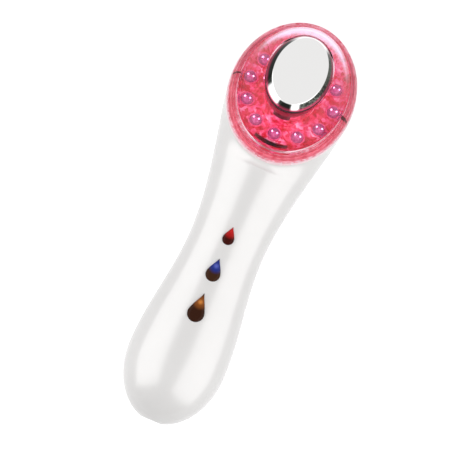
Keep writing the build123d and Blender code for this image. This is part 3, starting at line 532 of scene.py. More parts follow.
def grain(material, scale, depth, low, high):
    """Fine surface texture: bump of a depth in metres, and roughness between two values."""
    where = node(material, "TexCoord").outputs["Object"]
    bump = node(
        material, "Bump", Strength=1.0, Distance=depth, Height=noise_share(material, where, scale, 3.0)
    )
    wide = noise_share(material, where, scale / 12, 2.0)
    rough = node(material, "MapRange", Value=wide, From_Min=0.0, From_Max=1.0, To_Min=low, To_Max=high)
    dress(material, Normal=bump.outputs["Normal"], Roughness=rough.outputs["Result"])
    return where


def mottle(material, where, colour, other, scale):
    """Base colour that drifts softly between two colours."""
    share = noise_share(material, where, scale, 2.0)
    dress(material, Base_Color=colour_ramp(material, share, [(0.2, colour), (0.8, other)], "EASE"))


def plain(name, colour, other, low, high, metallic=0.0, **values):
    """Even material in two close tones, with its roughness between two values."""
    material = principled(name, Metallic=metallic, **values)
    where = grain(material, 1500.0, 0.000004, low, high)
    mottle(material, where, colour, other, 200.0)
    return material


def shell_material():
    material = principled("shell_white", Metallic=0.14, Coat_Weight=0.6, Coat_Roughness=0.12, IOR=1.5)
    where = grain(material, 2200.0, 0.0000003, 0.27, 0.32)
    mottle(material, where, (0.908, 0.894, 0.884), (0.893, 0.879, 0.869), 90.0)
    return material


def lens_material():
    """Clear pink moulding, deeper in the roof than low on the side wall.

    High on the roof, where it is seen at a slant, it has a painted reflection: a pale,
    faintly glowing stretch that also mirrors more, like the mirror image of a window.
    """
    material = principled("lens_pink", Transmission_Weight=1.0, IOR=1.24, Emission_Strength=1.0)
    where = grain(material, 500.0, 0.0000006, 0.01, 0.03)
    rise = arithmetic(material, "DOT_PRODUCT", where, HEAD_UP, kind="VectorMath")
    base = head_point(0, 0, 0).dot(HEAD_UP)
    height = share_between(material, rise, base, base + PROBE_HEIGHT * MM)
    pink = colour_ramp(material, height, [
        (0.10, (1.0, 0.94, 0.96)), (0.20, (0.90, 0.54, 0.63)),
        (0.33, (0.86, 0.46, 0.56)), (0.38, (0.95, 0.60, 0.70)),
    ])
    # Painted reflection: where the roof is seen at a slant, its colour turns pale lavender and glows
    # faintly
    facing = node(material, "LayerWeight", Blend=0.5).outputs["Facing"]
    slant = share_between(material, facing, 0.57, 0.68, interpolation_type="SMOOTHSTEP")
    roof = share_between(material, height, 0.46, 0.58)
    painted_reflection = arithmetic(material, "MULTIPLY", slant, roof)
    dress(
        material,
        Metallic=arithmetic(material, "MULTIPLY", painted_reflection, 0.42),
        Emission_Color=mixed(material, painted_reflection, (0.0, 0.0, 0.0), (0.20, 0.20, 0.30)),
        Base_Color=mixed(material, painted_reflection, pink, (0.78, 0.76, 0.90)),
    )
    return material


def painted_glow_foot_material():
    """Foot of the lens, with a painted glow standing in for the colour and light of the diodes behind it.
    """
    material = principled(
        "lens_foot_painted_glow", Coat_Weight=0.0, Emission_Color=(1.0, 0.30, 0.40), Emission_Strength=0.17
    )
    where = grain(material, 900.0, 0.000002, 0.25, 0.4)
    mottle(material, where, (0.64, 0.05, 0.11), (1.0, 0.74, 0.80), 360.0)
    return material


def painted_shade_material():
    """Maroon painted shade, for the latch marks and for the patch on the column."""
    material = principled("painted_shade_mark", Coat_Weight=0.0)
    where = grain(material, 900.0, 0.000002, 0.4, 0.6)
    mottle(material, where, (0.08, 0.003, 0.010), (0.13, 0.006, 0.018), 500.0)
    return material


# Pale seal, whose pink emission is a painted glow
def seal_material():
    material = principled(
        "seal_pale", Base_Color=(1.0, 0.80, 0.84), Transmission_Weight=0.15, IOR=1.45,
        Emission_Color=(1.0, 0.72, 0.76), Emission_Strength=0.16,
    )
    grain(material, 1500.0, 0.000001, 0.22, 0.34)
    return material


def reflector_material():
    """Pink in small cells and wider clouds, from deep red to near white, with a painted glow of the diodes'
    light and painted glints in its palest cells.
    """
    material = principled("reflector_pink", Coat_Weight=0.5, Coat_Roughness=0.08, Emission_Strength=0.20)
    where = grain(material, 420.0, 0.00006, 0.12, 0.3)
    cells = node(material, "TexVoronoi", Vector=where, Scale=620.0, Randomness=1.0)
    shade = node(material, "SeparateColor", Color=cells.outputs["Color"]).outputs["Red"]
    cloud = noise_share(material, where, 170.0, 3.0)
    total = arithmetic(material, "MULTIPLY_ADD", shade, 0.35, cloud)
    # Painted light: these tones also glow, and the palest cells stand in for glints
    tone = colour_ramp(material, total, [
        (0.42, (0.46, 0.004, 0.022)), (0.58, (0.64, 0.012, 0.04)), (0.72, (0.82, 0.08, 0.20)),
        (0.82, (0.90, 0.24, 0.48)), (0.94, (1.0, 0.78, 0.94)),
    ])
    dress(material, Base_Color=tone, Emission_Color=tone)
    return material


def painted_glow_halo_material():
    """Light well round a diode, with a painted magenta glow standing in for the diode's light on it."""
    material = principled(
        "led_halo", Coat_Weight=0.6, Coat_Roughness=0.08,
        Emission_Color=(0.84, 0.06, 0.22), Emission_Strength=0.18,
    )
    where = grain(material, 700.0, 0.00005, 0.12, 0.3)
    mottle(material, where, (0.66, 0.02, 0.10), (0.90, 0.34, 0.60), 700.0)
    return material


def led_material():
    material = principled(
        "led_clear", Transmission_Weight=0.6, IOR=1.18,
        Emission_Color=(0.80, 0.18, 0.52), Emission_Strength=0.20,
    )
    where = grain(material, 700.0, 0.00015, 0.08, 0.2)
    mottle(material, where, (0.66, 0.05, 0.34), (1.0, 0.72, 1.0), 900.0)
    return material


# Glowing specks that stand in for glints: painted highlights
def painted_glint_material():
    material = principled(
        "led_die", Base_Color=(0.9, 0.85, 0.95), Emission_Color=(1.0, 0.9, 1.0), Emission_Strength=5.0
    )
    grain(material, 4000.0, 0.000004, 0.3, 0.5)
    return material


# Tones of the plate: the face's own tone, and painted reflections for its wall
CHROME_TONES = {
    "dark_reflection": (0.016, 0.018, 0.016),
    "grey": (0.06, 0.066, 0.055),
    "bright_reflection": (0.92, 0.92, 0.92),
    "fleck": (0.15, 0.16, 0.14),
    "foot": (0.30, 0.035, 0.075),
    "face": (0.83, 0.825, 0.82),
}

# Painted reflections in stretches around the plate's wall, as (share of the turn from the tail side, tone)
CHROME_PAINTED_REFLECTIONS = [
    (0.0, "dark_reflection"), (0.034, "dark_reflection"), (0.052, "bright_reflection"), (0.115, "bright_reflection"), (0.15, "dark_reflection"),
    (0.36, "dark_reflection"), (0.43, "bright_reflection"), (0.57, "bright_reflection"), (0.62, "dark_reflection"), (0.70, "grey"),
    (0.78, "dark_reflection"), (0.918, "dark_reflection"), (0.938, "bright_reflection"), (0.958, "bright_reflection"), (0.972, "dark_reflection"),
    (1.0, "dark_reflection"),
]

# Where the painted flecks set in beside the middle, where the wall's painted reflections take over
# above the painted pink reflection at its foot, and where the face's tone starts under the face, in
# millimetres
FLECK_REACH = (3.0, 7.0)
WALL_START = (0.2, 1.1)
FACE_START = (0.26, 0.10)


def chrome_material():
    """Polished plate, whose wall has painted reflections in dark, grey and pale stretches around it."""
    material = principled("probe_chrome", Metallic=1.0)
    where = grain(material, 300.0, 0.0000002, 0.02, 0.05)
    origin = head_point(0, 0, 0)
    level = node(
        material, "VectorRotate", rotation_type="X_AXIS", Vector=where, Center=origin, Angle=HEAD_TILT
    )
    x, y, z = node(material, "SeparateXYZ", Vector=level.outputs["Vector"]).outputs
    along = arithmetic(material, "SUBTRACT", y, origin.y)
    shrunk = arithmetic(material, "MULTIPLY", along, PROBE_BASE[0] / PROBE_BASE[1])
    turn = share_between(material, arithmetic(material, "ARCTAN2", x, shrunk), -pi, pi)
    stops = [(share, CHROME_TONES[tone]) for share, tone in CHROME_PAINTED_REFLECTIONS]
    painted_reflection = colour_ramp(material, turn, stops, "EASE")
    # Painted reflection: paler flecks on the wall to one side of the middle
    speckle = share_between(material, noise_share(material, where, 1500.0, 1.0), 0.46, 0.66)
    beside = share_between(material, x, FLECK_REACH[0] * MM, FLECK_REACH[1] * MM, 0.8)
    amount = arithmetic(material, "MULTIPLY", speckle, beside)
    flecked = mixed(material, amount, painted_reflection, CHROME_TONES["fleck"], "LIGHTEN")
    # Painted reflection of the pink lens low on the wall
    foot = origin.z + (PROBE_SEAT + PROBE_LIP) * MM
    above = share_between(material, z, foot + WALL_START[0] * MM, foot + WALL_START[1] * MM)
    wall = mixed(material, above, CHROME_TONES["foot"], flecked)
    face = origin.z + PROBE_HEIGHT * MM
    edge = share_between(material, z, face - FACE_START[0] * MM, face - FACE_START[1] * MM)
    dress(material, Base_Color=mixed(material, edge, wall, CHROME_TONES["face"]))
    return material


def key_material(key, dark, glow, core, spot, reach, strength):
    """Drop that is dark but for a round patch of painted glow, as if lit from beneath.

    The patch is centred at a share of the key's length from its middle, and has a
    reach in millimetres.
    """
    name, middle, length, _ = key
    material = principled(
        "key_" + name, IOR=1.45, Specular_IOR_Level=0.08, Coat_Weight=0.0, Emission_Strength=strength
    )
    where = grain(material, 1200.0, 0.0000006, 0.05, 0.09)
    flat = arithmetic(material, "MULTIPLY", where, (1.0, 1.0, 0.0), kind="VectorMath", result="Vector")
    # Painted glow: the key is lighter and glows around this point
    glow_middle = (0.0, place(0, middle + spot * length, 0).y, 0.0)
    away = arithmetic(material, "DISTANCE", flat, glow_middle, kind="VectorMath")
    near = share_between(material, away, 0.0, reach * MM)
    tone = colour_ramp(material, near, [(0.0, core), (0.42, glow), (1.0, dark)], "EASE")
    dress(material, Base_Color=tone, Emission_Color=tone)
    return material


# Plain materials, as (tone, other tone, least roughness, greatest roughness, metallic)
PLAIN_LOOKS = {
    "gasket_grey": ((0.035, 0.03, 0.03), (0.05, 0.04, 0.04), 0.5, 0.7),
    "piezo_white": ((0.82, 0.80, 0.74), (0.76, 0.74, 0.68), 0.5, 0.7),
    "nylon_pink": ((0.30, 0.02, 0.05), (0.38, 0.03, 0.07), 0.3, 0.45),
    "nylon_grey": ((0.30, 0.31, 0.33), (0.34, 0.35, 0.37), 0.45, 0.6),
    "board_green": ((0.03, 0.20, 0.08), (0.02, 0.15, 0.06), 0.3, 0.5),
    "chip_black": ((0.02, 0.02, 0.022), (0.03, 0.03, 0.03), 0.5, 0.7),
    "ferrite_grey": ((0.07, 0.07, 0.075), (0.09, 0.09, 0.09), 0.5, 0.7),
    "coil_copper": ((0.65, 0.25, 0.09), (0.55, 0.20, 0.07), 0.25, 0.4, 1.0),
    "screw_steel": ((0.55, 0.56, 0.57), (0.48, 0.49, 0.50), 0.25, 0.4, 1.0),
    "can_aluminium": ((0.65, 0.66, 0.68), (0.60, 0.61, 0.63), 0.3, 0.45, 1.0),
    "connector_white": ((0.80, 0.77, 0.68), (0.76, 0.73, 0.64), 0.4, 0.55),
    "cell_wrap": ((0.03, 0.14, 0.36), (0.025, 0.12, 0.32), 0.2, 0.35),
    "nickel": ((0.66, 0.64, 0.58), (0.60, 0.58, 0.52), 0.25, 0.4, 1.0),
    "plug_white": ((0.80, 0.80, 0.81), (0.77, 0.77, 0.78), 0.4, 0.55),
    "socket_black": ((0.018, 0.018, 0.018), (0.026, 0.026, 0.026), 0.35, 0.5),
    "contact_brass": ((0.78, 0.60, 0.30), (0.70, 0.54, 0.27), 0.15, 0.3, 1.0),
    "lead_red": ((0.45, 0.01, 0.01), (0.38, 0.01, 0.01), 0.35, 0.5),
    "lead_white": ((0.72, 0.72, 0.72), (0.68, 0.68, 0.68), 0.35, 0.5),
}
MATERIALS = {
    "shell_white": shell_material(),
    "seal_pale": seal_material(),
    "lens_pink": lens_material(),
    "reflector_pink": reflector_material(),
    "led_clear": led_material(),
    "probe_chrome": chrome_material(),
    "key_red": key_material(
        KEYS[0], dark=(0.046, 0.003, 0.001), glow=(0.42, 0.008, 0.008), core=(0.56, 0.012, 0.012),
        spot=0.28, reach=4.2, strength=0.25,
    ),
    "key_blue": key_material(
        KEYS[1], dark=(0.046, 0.016, 0.006), glow=(0.016, 0.030, 0.22), core=(0.10, 0.13, 0.50),
        spot=0.17, reach=4.0, strength=0.25,
    ),
    "key_amber": key_material(
        KEYS[2], dark=(0.034, 0.009, 0.003), glow=(0.20, 0.055, 0.008), core=(0.62, 0.22, 0.045),
        spot=0.19, reach=4.0, strength=0.30,
    ),
}
for look_name, look in PLAIN_LOOKS.items():
    MATERIALS[look_name] = plain(look_name, *look)
SLOTS = {part["node"]: part["material_slot"] for part in frame["record"]["subparts"]}


# Body shells


def curve_point(ends, t):
    """Point at a share of the way along a cubic curve."""
    p0, p1, p2, p3 = ends
    rest = 1 - t
    return p0 * rest ** 3 + p1 * 3 * t * rest ** 2 + p2 * 3 * t * t * rest + p3 * t ** 3


def drop_points(length, width, grow=0.0):
    """Outline of a key, with its round centre at the origin and its blunt tip along +Y."""
    radius = width / 2 + grow
    tip = length - width / 2 + 1.6 * grow
    start = Vector((radius * cos(DROP_SHOULDER), radius * sin(DROP_SHOULDER)))
    rise = tip - start.y
    inner = start + Vector((-sin(DROP_SHOULDER), cos(DROP_SHOULDER))) * (0.5 * rise)
    outer = Vector((0.22 * radius, tip - 0.34 * rise))
    steps = 22
    right = [curve_point((start, inner, outer, Vector((0, tip))), k / steps) for k in range(steps)]
    last = right[-1]
    left_over = tip - last.y
    right.append(Vector((last.x * 0.55, last.y + left_over * 0.42)))
    nose = Vector((0, last.y + left_over * 0.55))
    left = [Vector((-p.x, p.y)) for p in reversed(right)]
    arc = []
    sweep = pi + 2 * DROP_SHOULDER
    arc_steps = 36
    for k in range(1, arc_steps):
        a = pi - DROP_SHOULDER + sweep * k / arc_steps
        arc.append(Vector((radius * cos(a), radius * sin(a))))
    return right + [nose] + left + arc


def key_centre(key):
    _, middle, length, width = key
    return middle - length / 2 + width / 2


def drop_prism(name, key, grow, low, high):
    """Upright prism over a key's outline, grown by a distance."""
    _, _, length, width = key
    outline = drop_points(length, width, grow)
    centre = key_centre(key)
    rings = [[place(p.x, centre + p.y, z) for p in outline] for z in (low, high)]
    return ring_solid(name, rings)


def parting_prism(raised):
    """Everything under the line where the two shells meet."""
    z_flat = AXIS_Z + raised
    z_head = HEAD_Z - PARTING_DEPTH / cos(HEAD_TILT) + raised
    y_bend = HEAD_Y + (z_head - z_flat) / tan(HEAD_TILT)
    y_near, y_far = -20, LENGTH + 20
    z_far = z_head - (y_far - HEAD_Y) * tan(HEAD_TILT)
    z_under = -30
    cut = PARTING_RADIUS * tan(HEAD_TILT / 2)
    centre = Vector((y_bend - cut, z_flat - PARTING_RADIUS))
    bend = []
    steps = 24
    for k in range(steps + 1):
        a = pi / 2 - HEAD_TILT * k / steps
        bend.append((centre.x + PARTING_RADIUS * cos(a), centre.y + PARTING_RADIUS * sin(a)))
    outline = [(y_near, z_under), (y_near, z_flat)] + bend + [(y_far, z_far), (y_far, z_under)]
    beside = 50
    return flat_ended("parting", [[place(x, y, z) for y, z in outline] for x in (-beside, beside)])


def upright(name, x, y, radius, low, high, around=48):
    """Round rod along Z."""
    return spun(name, [(radius, low), (radius, high)], lambda a, b, h: place(x + a, y + b, h), around)


def lengthwise(name, radius, low, high):
    """Round rod along the handle's axis."""
    return spun(name, [(radius, low), (radius, high)], lambda a, b, h: place(a, h, AXIS_Z + b), 48)


def build_shells():
    """Both halves of the housing, and the caps over its screws."""
    outer = ring_solid(
        "outer", body_rings(0.0, tail_steps=26, handle_steps=64, fan_steps=44, around=AROUND)
    )
    inside = body_rings(WALL, tail_steps=12, handle_steps=28, fan_steps=22, around=72)
    past_opening = HEAD_UP * (3.0 * MM)
    cavity = ring_solid("cavity", inside + [[point + past_opening for point in inside[-1]]])
    plugs = []
    under_plug, under_hole = -0.5, -2.0
    for x, y in HOUSING_SCREWS:
        plug = upright("plug", x, y, PLUG_RADIUS, under_plug, PLUG_LENGTH)
        boolean(plug, [outer], "INTERSECT", keep=True)
        plugs.append(plug)
    before_tail, past_wall = -5.0, 4.0
    boolean(outer, [cavity, lengthwise("tail", SOCKET_HOLE, before_tail, past_wall)])
    front = outer
    back = outer.copy()
    back.data = outer.data.copy()
    bpy.context.scene.collection.objects.link(back)
    under_keys, over_keys = 25.0, 60.0
    holes = [drop_prism("hole", key, KEY_GAP, under_keys, over_keys) for key in KEYS]
    boolean(front, [parting_prism(SEAM_HALF_GAP)] + holes)
    boolean(back, [parting_prism(-SEAM_HALF_GAP)], "INTERSECT")
    plug_hole = PLUG_RADIUS + PLUG_GAP
    holes = [upright("hole", x, y, plug_hole, under_hole, SCREW_SEAT_Z) for x, y in HOUSING_SCREWS]
    boolean(back, holes)
    front.name = "front_shell_moulding"
    back.name = "back_shell_moulding"
    white = MATERIALS["shell_white"]
    finish_piece(front, ["front_shell"], HANDLE, white, 40)
    finish_piece(back, ["back_shell"], HANDLE, white, 40)
    caps = joined("screw_plug_caps", plugs)
    edge = caps.modifiers.new("edge", "BEVEL")
    edge.width = PLUG_BEVEL * MM
    edge.segments = 3
    edge.limit_method = "ANGLE"
    edge.angle_limit = radians(50)
    with_modifiers(caps)
    finish_piece(caps, ["screw_plugs"], HANDLE, MATERIALS["plug_white"], 40)


# Head


def height_of(point):
    """Height of a point above the oblique opening, in millimetres."""
    return (point - head_point(0, 0, 0)).dot(HEAD_UP) / MM


def along_of(point):
    """Distance of a point along the oblique opening, towards the tip, in millimetres."""
    return (point - head_point(0, 0, 0)).dot(HEAD_ALONG) / MM


def in_latch_shade(point):
    """Whether a point of the lens is in a mark of painted shade on the outside of its side wall."""
    low, high = LATCH_HEIGHTS
    for side, along in LATCH_SHADE_MARKS:
        outside = point.x * side > SPIGOT_INNER[0] * MM
        if outside and low < height_of(point) < high and abs(along_of(point) - along) < LATCH_HALF:
            return True
    return False


def in_column_shade(point):
    """Whether a point of the reflector is in the patch of painted shade on its column."""
    low, high = COLUMN_SHADE_HEIGHTS
    on_tail_side = along_of(point) < COLUMN_SHADE_ALONG and abs(point.x) < COLUMN_SHADE_HALF_WIDTH * MM
    return on_tail_side and low < height_of(point) < high


def build_lens():
    """Domed ring with an even wall, a collar at the plate and a spigot in the housing."""
    top = LENS_ROOF[-1][0]
    underside = top - LENS_WALL
    side = smooth_line(LENS_SIDE, 6)
    roof = smooth_line(LENS_ROOF, 8)
    inner_roof = smooth_line([tuple(size - ROOF_INSET for size in point) for point in LENS_ROOF], 6)
    inner_roof = [p for p in inner_roof if p[0] < underside]
    outer = round_corners([(1.5, 27.3, 35.0)] + side + roof + [(top, *COLLAR_HOLE)], 0.35)
    inner = [(underside, *COLLAR_HOLE), (underside, 14.2, 20.1)] + list(reversed(inner_roof))
    inner += [(6.6, 24.3, 31.9), (4.0, *SPIGOT_INNER), (1.4, *SPIGOT_INNER), (-SPIGOT_DEPTH, *SPIGOT_INNER)]
    foot = [(-SPIGOT_DEPTH, *SPIGOT_OUTER), (SEAL_HEIGHT, *SPIGOT_OUTER)]
    loop = outer + round_corners(inner, 0.3, 3) + foot
    lens = ring_solid("light_lens_dome", head_rings(loop, LENS_AROUND), closed=True)
    finish_piece(lens, ["light_lens"], HANDLE, MATERIALS["lens_pink"], 50)
    lens.data.materials.append(painted_glow_foot_material())
    lens.data.materials.append(painted_shade_material())
    for face in lens.data.polygons:
        # Painted glow of the diodes on the lens's foot
        if height_of(face.center) < FOOT_LIMIT:
            face.material_index = 1
        # Painted shade in the latch marks
        elif in_latch_shade(face.center):
            face.material_index = 2


def build_seal():
    """Ring with rounded edges between the housing and the lens."""
    outer = (HEAD_HALF_WIDTH + SEAL_OVERHANG, HEAD_HALF_LENGTH + SEAL_OVERHANG)
    inner = (SPIGOT_OUTER[0] + SEAL_OVERHANG, SPIGOT_OUTER[1] + SEAL_OVERHANG)
    middle = (SEAL_HEIGHT / 2, *inner)
    corners = [middle, (0.0, *inner), (0.0, *outer), (SEAL_HEIGHT, *outer), (SEAL_HEIGHT, *inner), middle]
    loop = round_corners(corners, 0.55)[:-1]
    seal = ring_solid("lens_seal_ring", head_rings(loop, LENS_AROUND), closed=True)
    finish_piece(seal, ["lens_seal"], HANDLE, MATERIALS["seal_pale"], 50)


def led_spots(base=0.0):
    """For each diode, a function that gives a point from x, y and height on its own axis."""
    for k in range(LED_COUNT):
        turn = 2 * pi * k / LED_COUNT
        x = LED_RING[0] * sin(turn)
        y = -LED_RING[1] * cos(turn)
        yield lambda a, b, h, x=x, y=y: head_point(x + a, y + b, base + h)


def reflector_rings():
    """Skirt, rim, fluted slope, floor and column of the reflector."""
    column_inner = (COLUMN_OUTER[0] - COLUMN_WALL, COLUMN_OUTER[1] - COLUMN_WALL)
    slope = [(2.6, 23.2, 30.9), (1.9, 22.7, 29.8), (1.2, 22.1, 28.8)]
    loop = [(-2.5, 23.3, 31.0), (-2.5, 24.3, 32.0), (3.0, 24.3, 32.0), (3.0, 23.5, 31.2)] + slope
    loop += [(0.6, 21.5, 27.8), (0.6, 18.0, 24.0), (0.6, 14.5, 20.0), (0.6, 12.6, 17.6)]
    loop += [(height, *COLUMN_OUTER) for height in (1.2, *COLUMN_SHADE_HEIGHTS, COLUMN_TOP)]
    loop += [(COLUMN_TOP, *column_inner), (-0.5, *column_inner), (-0.5, 23.3, 31.0)]
    rings = []
    for point in loop:
        height, width, length = point
        depth = FLUTE_DEPTH if point in slope else 0.0
        ring = []
        for k in range(REFLECTOR_AROUND):
            turn = 2 * pi * k / REFLECTOR_AROUND
            flute = depth * cos(FLUTE_COUNT * turn)
            ring.append(head_point((width + flute) * sin(turn), (length + flute) * cos(turn), height))
        rings.append(ring)
    return rings


def slot_prism():
    """Arc-shaped slot in the reflector's floor, beside its rim on the tail side."""
    across = REFLECTOR_SLOT_WIDTH / 2
    steps = 24
    rings = []
    for height in (-2.0, 3.0):
        ring = []
        for (width, length), side in zip(REFLECTOR_SLOT, (1, -1)):
            for k in range(steps + 1):
                x = side * across * (2 * k / steps - 1)
                ring.append(head_point(x, -length * sqrt(1 - (x / width) ** 2), height))
        rings.append(ring)
    return flat_ended("slot", rings)


def build_reflector():
    """Moulded tray with a column under the probe, and a hole with a rounded rim for each diode."""
    tray = ring_solid("reflector_tray", reflector_rings(), closed=True)
    bore = [(LED_HOLE_RADIUS, -2.0), (LED_HOLE_RADIUS, 2.9)]
    rim = [(LED_HOLE_RADIUS, 0.5), (3.5, 0.5), (3.5, 0.8), (3.35, 1.1), (3.15, 1.15), (2.9, 0.95)]
    rim += [(LED_HOLE_RADIUS, 0.7)]
    boolean(tray, [spun("hole", bore, spot) for spot in led_spots()] + [slot_prism()])
    rims = [spun("rim", rim, spot, 48, closed=True) for spot in led_spots()]
    tray_faces = len(tray.data.polygons)
    tray = joined("reflector_tray", [tray] + rims)
    finish_piece(tray, ["reflector"], HANDLE, MATERIALS["reflector_pink"], 12)
    tray.data.materials.append(painted_glow_halo_material())
    tray.data.materials.append(painted_shade_material())
    for number, face in enumerate(tray.data.polygons):
        # Painted glow on the rims round the diodes
        if number >= tray_faces:
            face.material_index = 1
        # Painted shade on the column's tail side
        elif in_column_shade(face.center):
            face.material_index = 2


def build_leds():
    """Diodes, each with its flange, dome, dark skirt of painted shade, the cup inside it and two glowing
    specks as painted glints.
    """
    lit = painted_glint_material()
    # Painted shade on the lower part of each diode
    shade = plain("led_skirt", (0.05, 0.003, 0.010), (0.08, 0.005, 0.015), 0.5, 0.7)
    shoulder = LED_LENGTH - LED_RADIUS
    body = [(LED_FLANGE_RADIUS, 0.0), (LED_FLANGE_RADIUS, 0.9), (LED_FLANGE_RADIUS - 0.15, 1.0)]
    body += [(LED_RADIUS, height) for height in (1.0, LED_SHADE_TOP, shoulder)]
    for angle in range(10, 90, 10):
        a = radians(angle)
        body.append((LED_RADIUS * cos(a), shoulder + LED_RADIUS * sin(a)))
    cup = [(0.3, 1.6), (0.3, 4.6), (1.0, 4.9), (1.15, 5.5), (0.95, 5.5), (0.6, 5.15)]
    glint = [(0.36, 7.3), (0.36, 7.6), (0.2, 7.75)]
    for number, spot in enumerate(led_spots(LED_BOARD_TOP), 1):
        bulb = spun("led_%02d_bulb" % number, body, spot, 40)
        finish_piece(bulb, ["led_%02d" % number], HANDLE, MATERIALS["led_clear"], 50)
        bulb.data.materials.append(shade)
        # Painted shade on the diode's skirt
        for face in bulb.data.polygons:
            if height_of(face.center) < LED_BOARD_TOP + LED_SHADE_TOP:
                face.material_index = 1
        anvil = spun("led_%02d_cup" % number, cup, spot, 24)
        finish_piece(anvil, [], HANDLE, MATERIALS["screw_steel"], 40)
        # Painted glints: two glowing specks high in each dome
        painted_glints = []
        for side in (-GLINT_SIDE, GLINT_SIDE):
            painted_glints.append(spun("chip", glint, lambda a, b, h, side=side: spot(a + side, b, h), 16))
        chip = joined("led_%02d_chips" % number, painted_glints)
        finish_piece(chip, [], HANDLE, lit, 40)


def build_probe():
    """Hollow plate with a sloping wall and a neck through the lens, and its gasket."""
    under_face = PROBE_HEIGHT - FACE_THICKNESS
    wall = [
        (PROBE_SEAT, *PROBE_NECK), (PROBE_SEAT, *PROBE_BASE), (PROBE_SEAT + PROBE_LIP, *PROBE_BASE),
        (PROBE_HEIGHT, *PROBE_FACE), (PROBE_HEIGHT, PROBE_FACE[0] - 3, PROBE_FACE[1] - 3),
    ]
    outside = [(PROBE_NECK_END, *PROBE_NECK)] + round_corners(wall, 0.42, 6)
    outside += [(PROBE_HEIGHT, PROBE_FACE[0] * s, PROBE_FACE[1] * s) for s in (0.5, 0.2)]
    inside = [(under_face, 2.0, 3.4), (under_face, *PROBE_CAVITY), (PROBE_NECK_END, *PROBE_CAVITY)]
    rings = head_rings(inside + outside, HEAD_AROUND)
    verts = [p for ring in rings for p in ring]
    faces = ring_faces(len(rings), HEAD_AROUND)
    for base, height in ((0, under_face), ((len(rings) - 1) * HEAD_AROUND, PROBE_HEIGHT)):
        verts.append(head_point(0, 0, height))
        tip = len(verts) - 1
        faces += [(base + k, base + (k + 1) % HEAD_AROUND, tip) for k in range(HEAD_AROUND)]
    cap = mesh_object("probe_cap_plate", verts, faces)
    finish_piece(cap, ["probe_cap"], HANDLE, MATERIALS["probe_chrome"], 28)
    land = LENS_ROOF[-1][0]
    edge = [size + GASKET_MARGIN for size in PROBE_BASE]
    bore = [size + GASKET_GAP for size in PROBE_NECK]
    sleeve = [size - GASKET_GAP for size in COLLAR_HOLE]
    loop = [
        (land, *edge), (PROBE_SEAT, *edge), (PROBE_SEAT, *bore), (land - LENS_WALL, *bore),
        (land - LENS_WALL, *sleeve), (land, *sleeve),
    ]
    gasket = ring_solid("probe_gasket_ring", head_rings(loop, HEAD_AROUND), closed=True)
    finish_piece(gasket, ["probe_gasket"], HANDLE, MATERIALS["gasket_grey"], 30)


# Keys and socket


def build_key(key):
    """Domed drop with a rolled edge, its flange and its stem."""
    name, middle, length, width = key
    centre = key_centre(key)
    surface = AXIS_Z + front_height(middle)
    slope = (front_height(middle + 1) - front_height(middle - 1)) / 2
    seat = surface - WALL - 0.12 * length - KEY_SEAT_GAP
    outline = drop_points(length, width)
    heart = Vector((0, (length - width) / 2))
    rings = [[place(p.x, centre + p.y, seat) for p in outline]]
    steps = 18
    for k in range(steps):
        a = pi / 2 * k / steps
        share = cos(a) ** KEY_FULLNESS
        rise = KEY_RIM + sin(a) * KEY_DOME
        ring = []
        for p in outline:
            q = heart + (p - heart) * share
            ring.append(place(q.x, centre + q.y, surface + slope * (centre + q.y - middle) + rise))
        rings.append(ring)
    cap = ring_solid(name + "_key_cap", rings)
    flange = drop_prism("flange", key, FLANGE_REACH, seat - FLANGE_THICKNESS, seat)
    stem = upright("stem", 0, centre, STEM_RADIUS, PLUNGER_TOP, seat - FLANGE_THICKNESS, 24)
    whole = joined(name + "_key_cap", [cap, flange, stem])
    slot = "key_" + name
    finish_piece(whole, [name + "_button"], name + "_key", MATERIALS[slot], 50)


def build_socket():
    """Barrel with a rolled mouth, a flange inside the tail wall, and the rounded centre pin."""
    def spot(a, b, h):
        return place(a, h, AXIS_Z + b)
    body = [(3.6, SOCKET_LENGTH), (SOCKET_RADIUS, SOCKET_LENGTH - 0.2)]
    body += [(SOCKET_RADIUS, SOCKET_FLANGE[1]), (SOCKET_FLANGE_RADIUS, SOCKET_FLANGE[1])]
    body += [(SOCKET_FLANGE_RADIUS, SOCKET_FLANGE[0]), (SOCKET_RADIUS, SOCKET_FLANGE[0])]
    body += [(SOCKET_RADIUS, 0.6), (3.75, 0.35), (3.6, 0.3), (3.15, 0.3), (2.98, 0.36), (SOCKET_BORE, 0.55)]
    body += [(SOCKET_BORE, SOCKET_BORE_DEPTH), (PIN_RADIUS, SOCKET_BORE_DEPTH), (PIN_RADIUS, SOCKET_LENGTH)]
    socket = spun("charge_socket_body", body, spot, 72, closed=True)
    finish_piece(socket, ["charge_socket"], HANDLE, MATERIALS["socket_black"], 40)
    pin = [(PIN_RADIUS, 13.5), (PIN_RADIUS, 1.6), (0.94, 1.32), (0.8, 1.12), (0.6, 1.02), (0.3, 1.0)]
    rod = spun("socket_centre_pin", pin, spot, 40)
    finish_piece(rod, ["socket_pin"], HANDLE, MATERIALS["contact_brass"], 40)


def dress_carried_nodes():
    """Materials for the nodes that keep their own meshes."""
    # Painted glow: the diode board is dark red with a faint emission standing in for the diodes' light on
    # it
    painted_glow_board = plain(
        "board_painted_glow", (0.22, 0.010, 0.020), (0.16, 0.006, 0.014), 0.3, 0.5,
        Emission_Color=(1.0, 0.05, 0.10), Emission_Strength=0.05,
    )
    for name, obj in frame["nodes"].items():
        obj.data.materials.clear()
        obj.data.materials.append(painted_glow_board if name == "led_board" else MATERIALS[SLOTS[name]])


# Stage, lights and camera


def switch_strength(owner, seen, lit):
    """Strength for rays that see the surroundings, and another for rays that light the object."""
    path = node(owner, "LightPath").outputs
    sees = arithmetic(owner, "MAXIMUM", path["Is Camera Ray"], path["Is Glossy Ray"])
    sees = arithmetic(owner, "MAXIMUM", sees, path["Is Transmission Ray"])
    return node(owner, "MapRange", Value=sees, To_Min=lit, To_Max=seen).outputs["Result"]


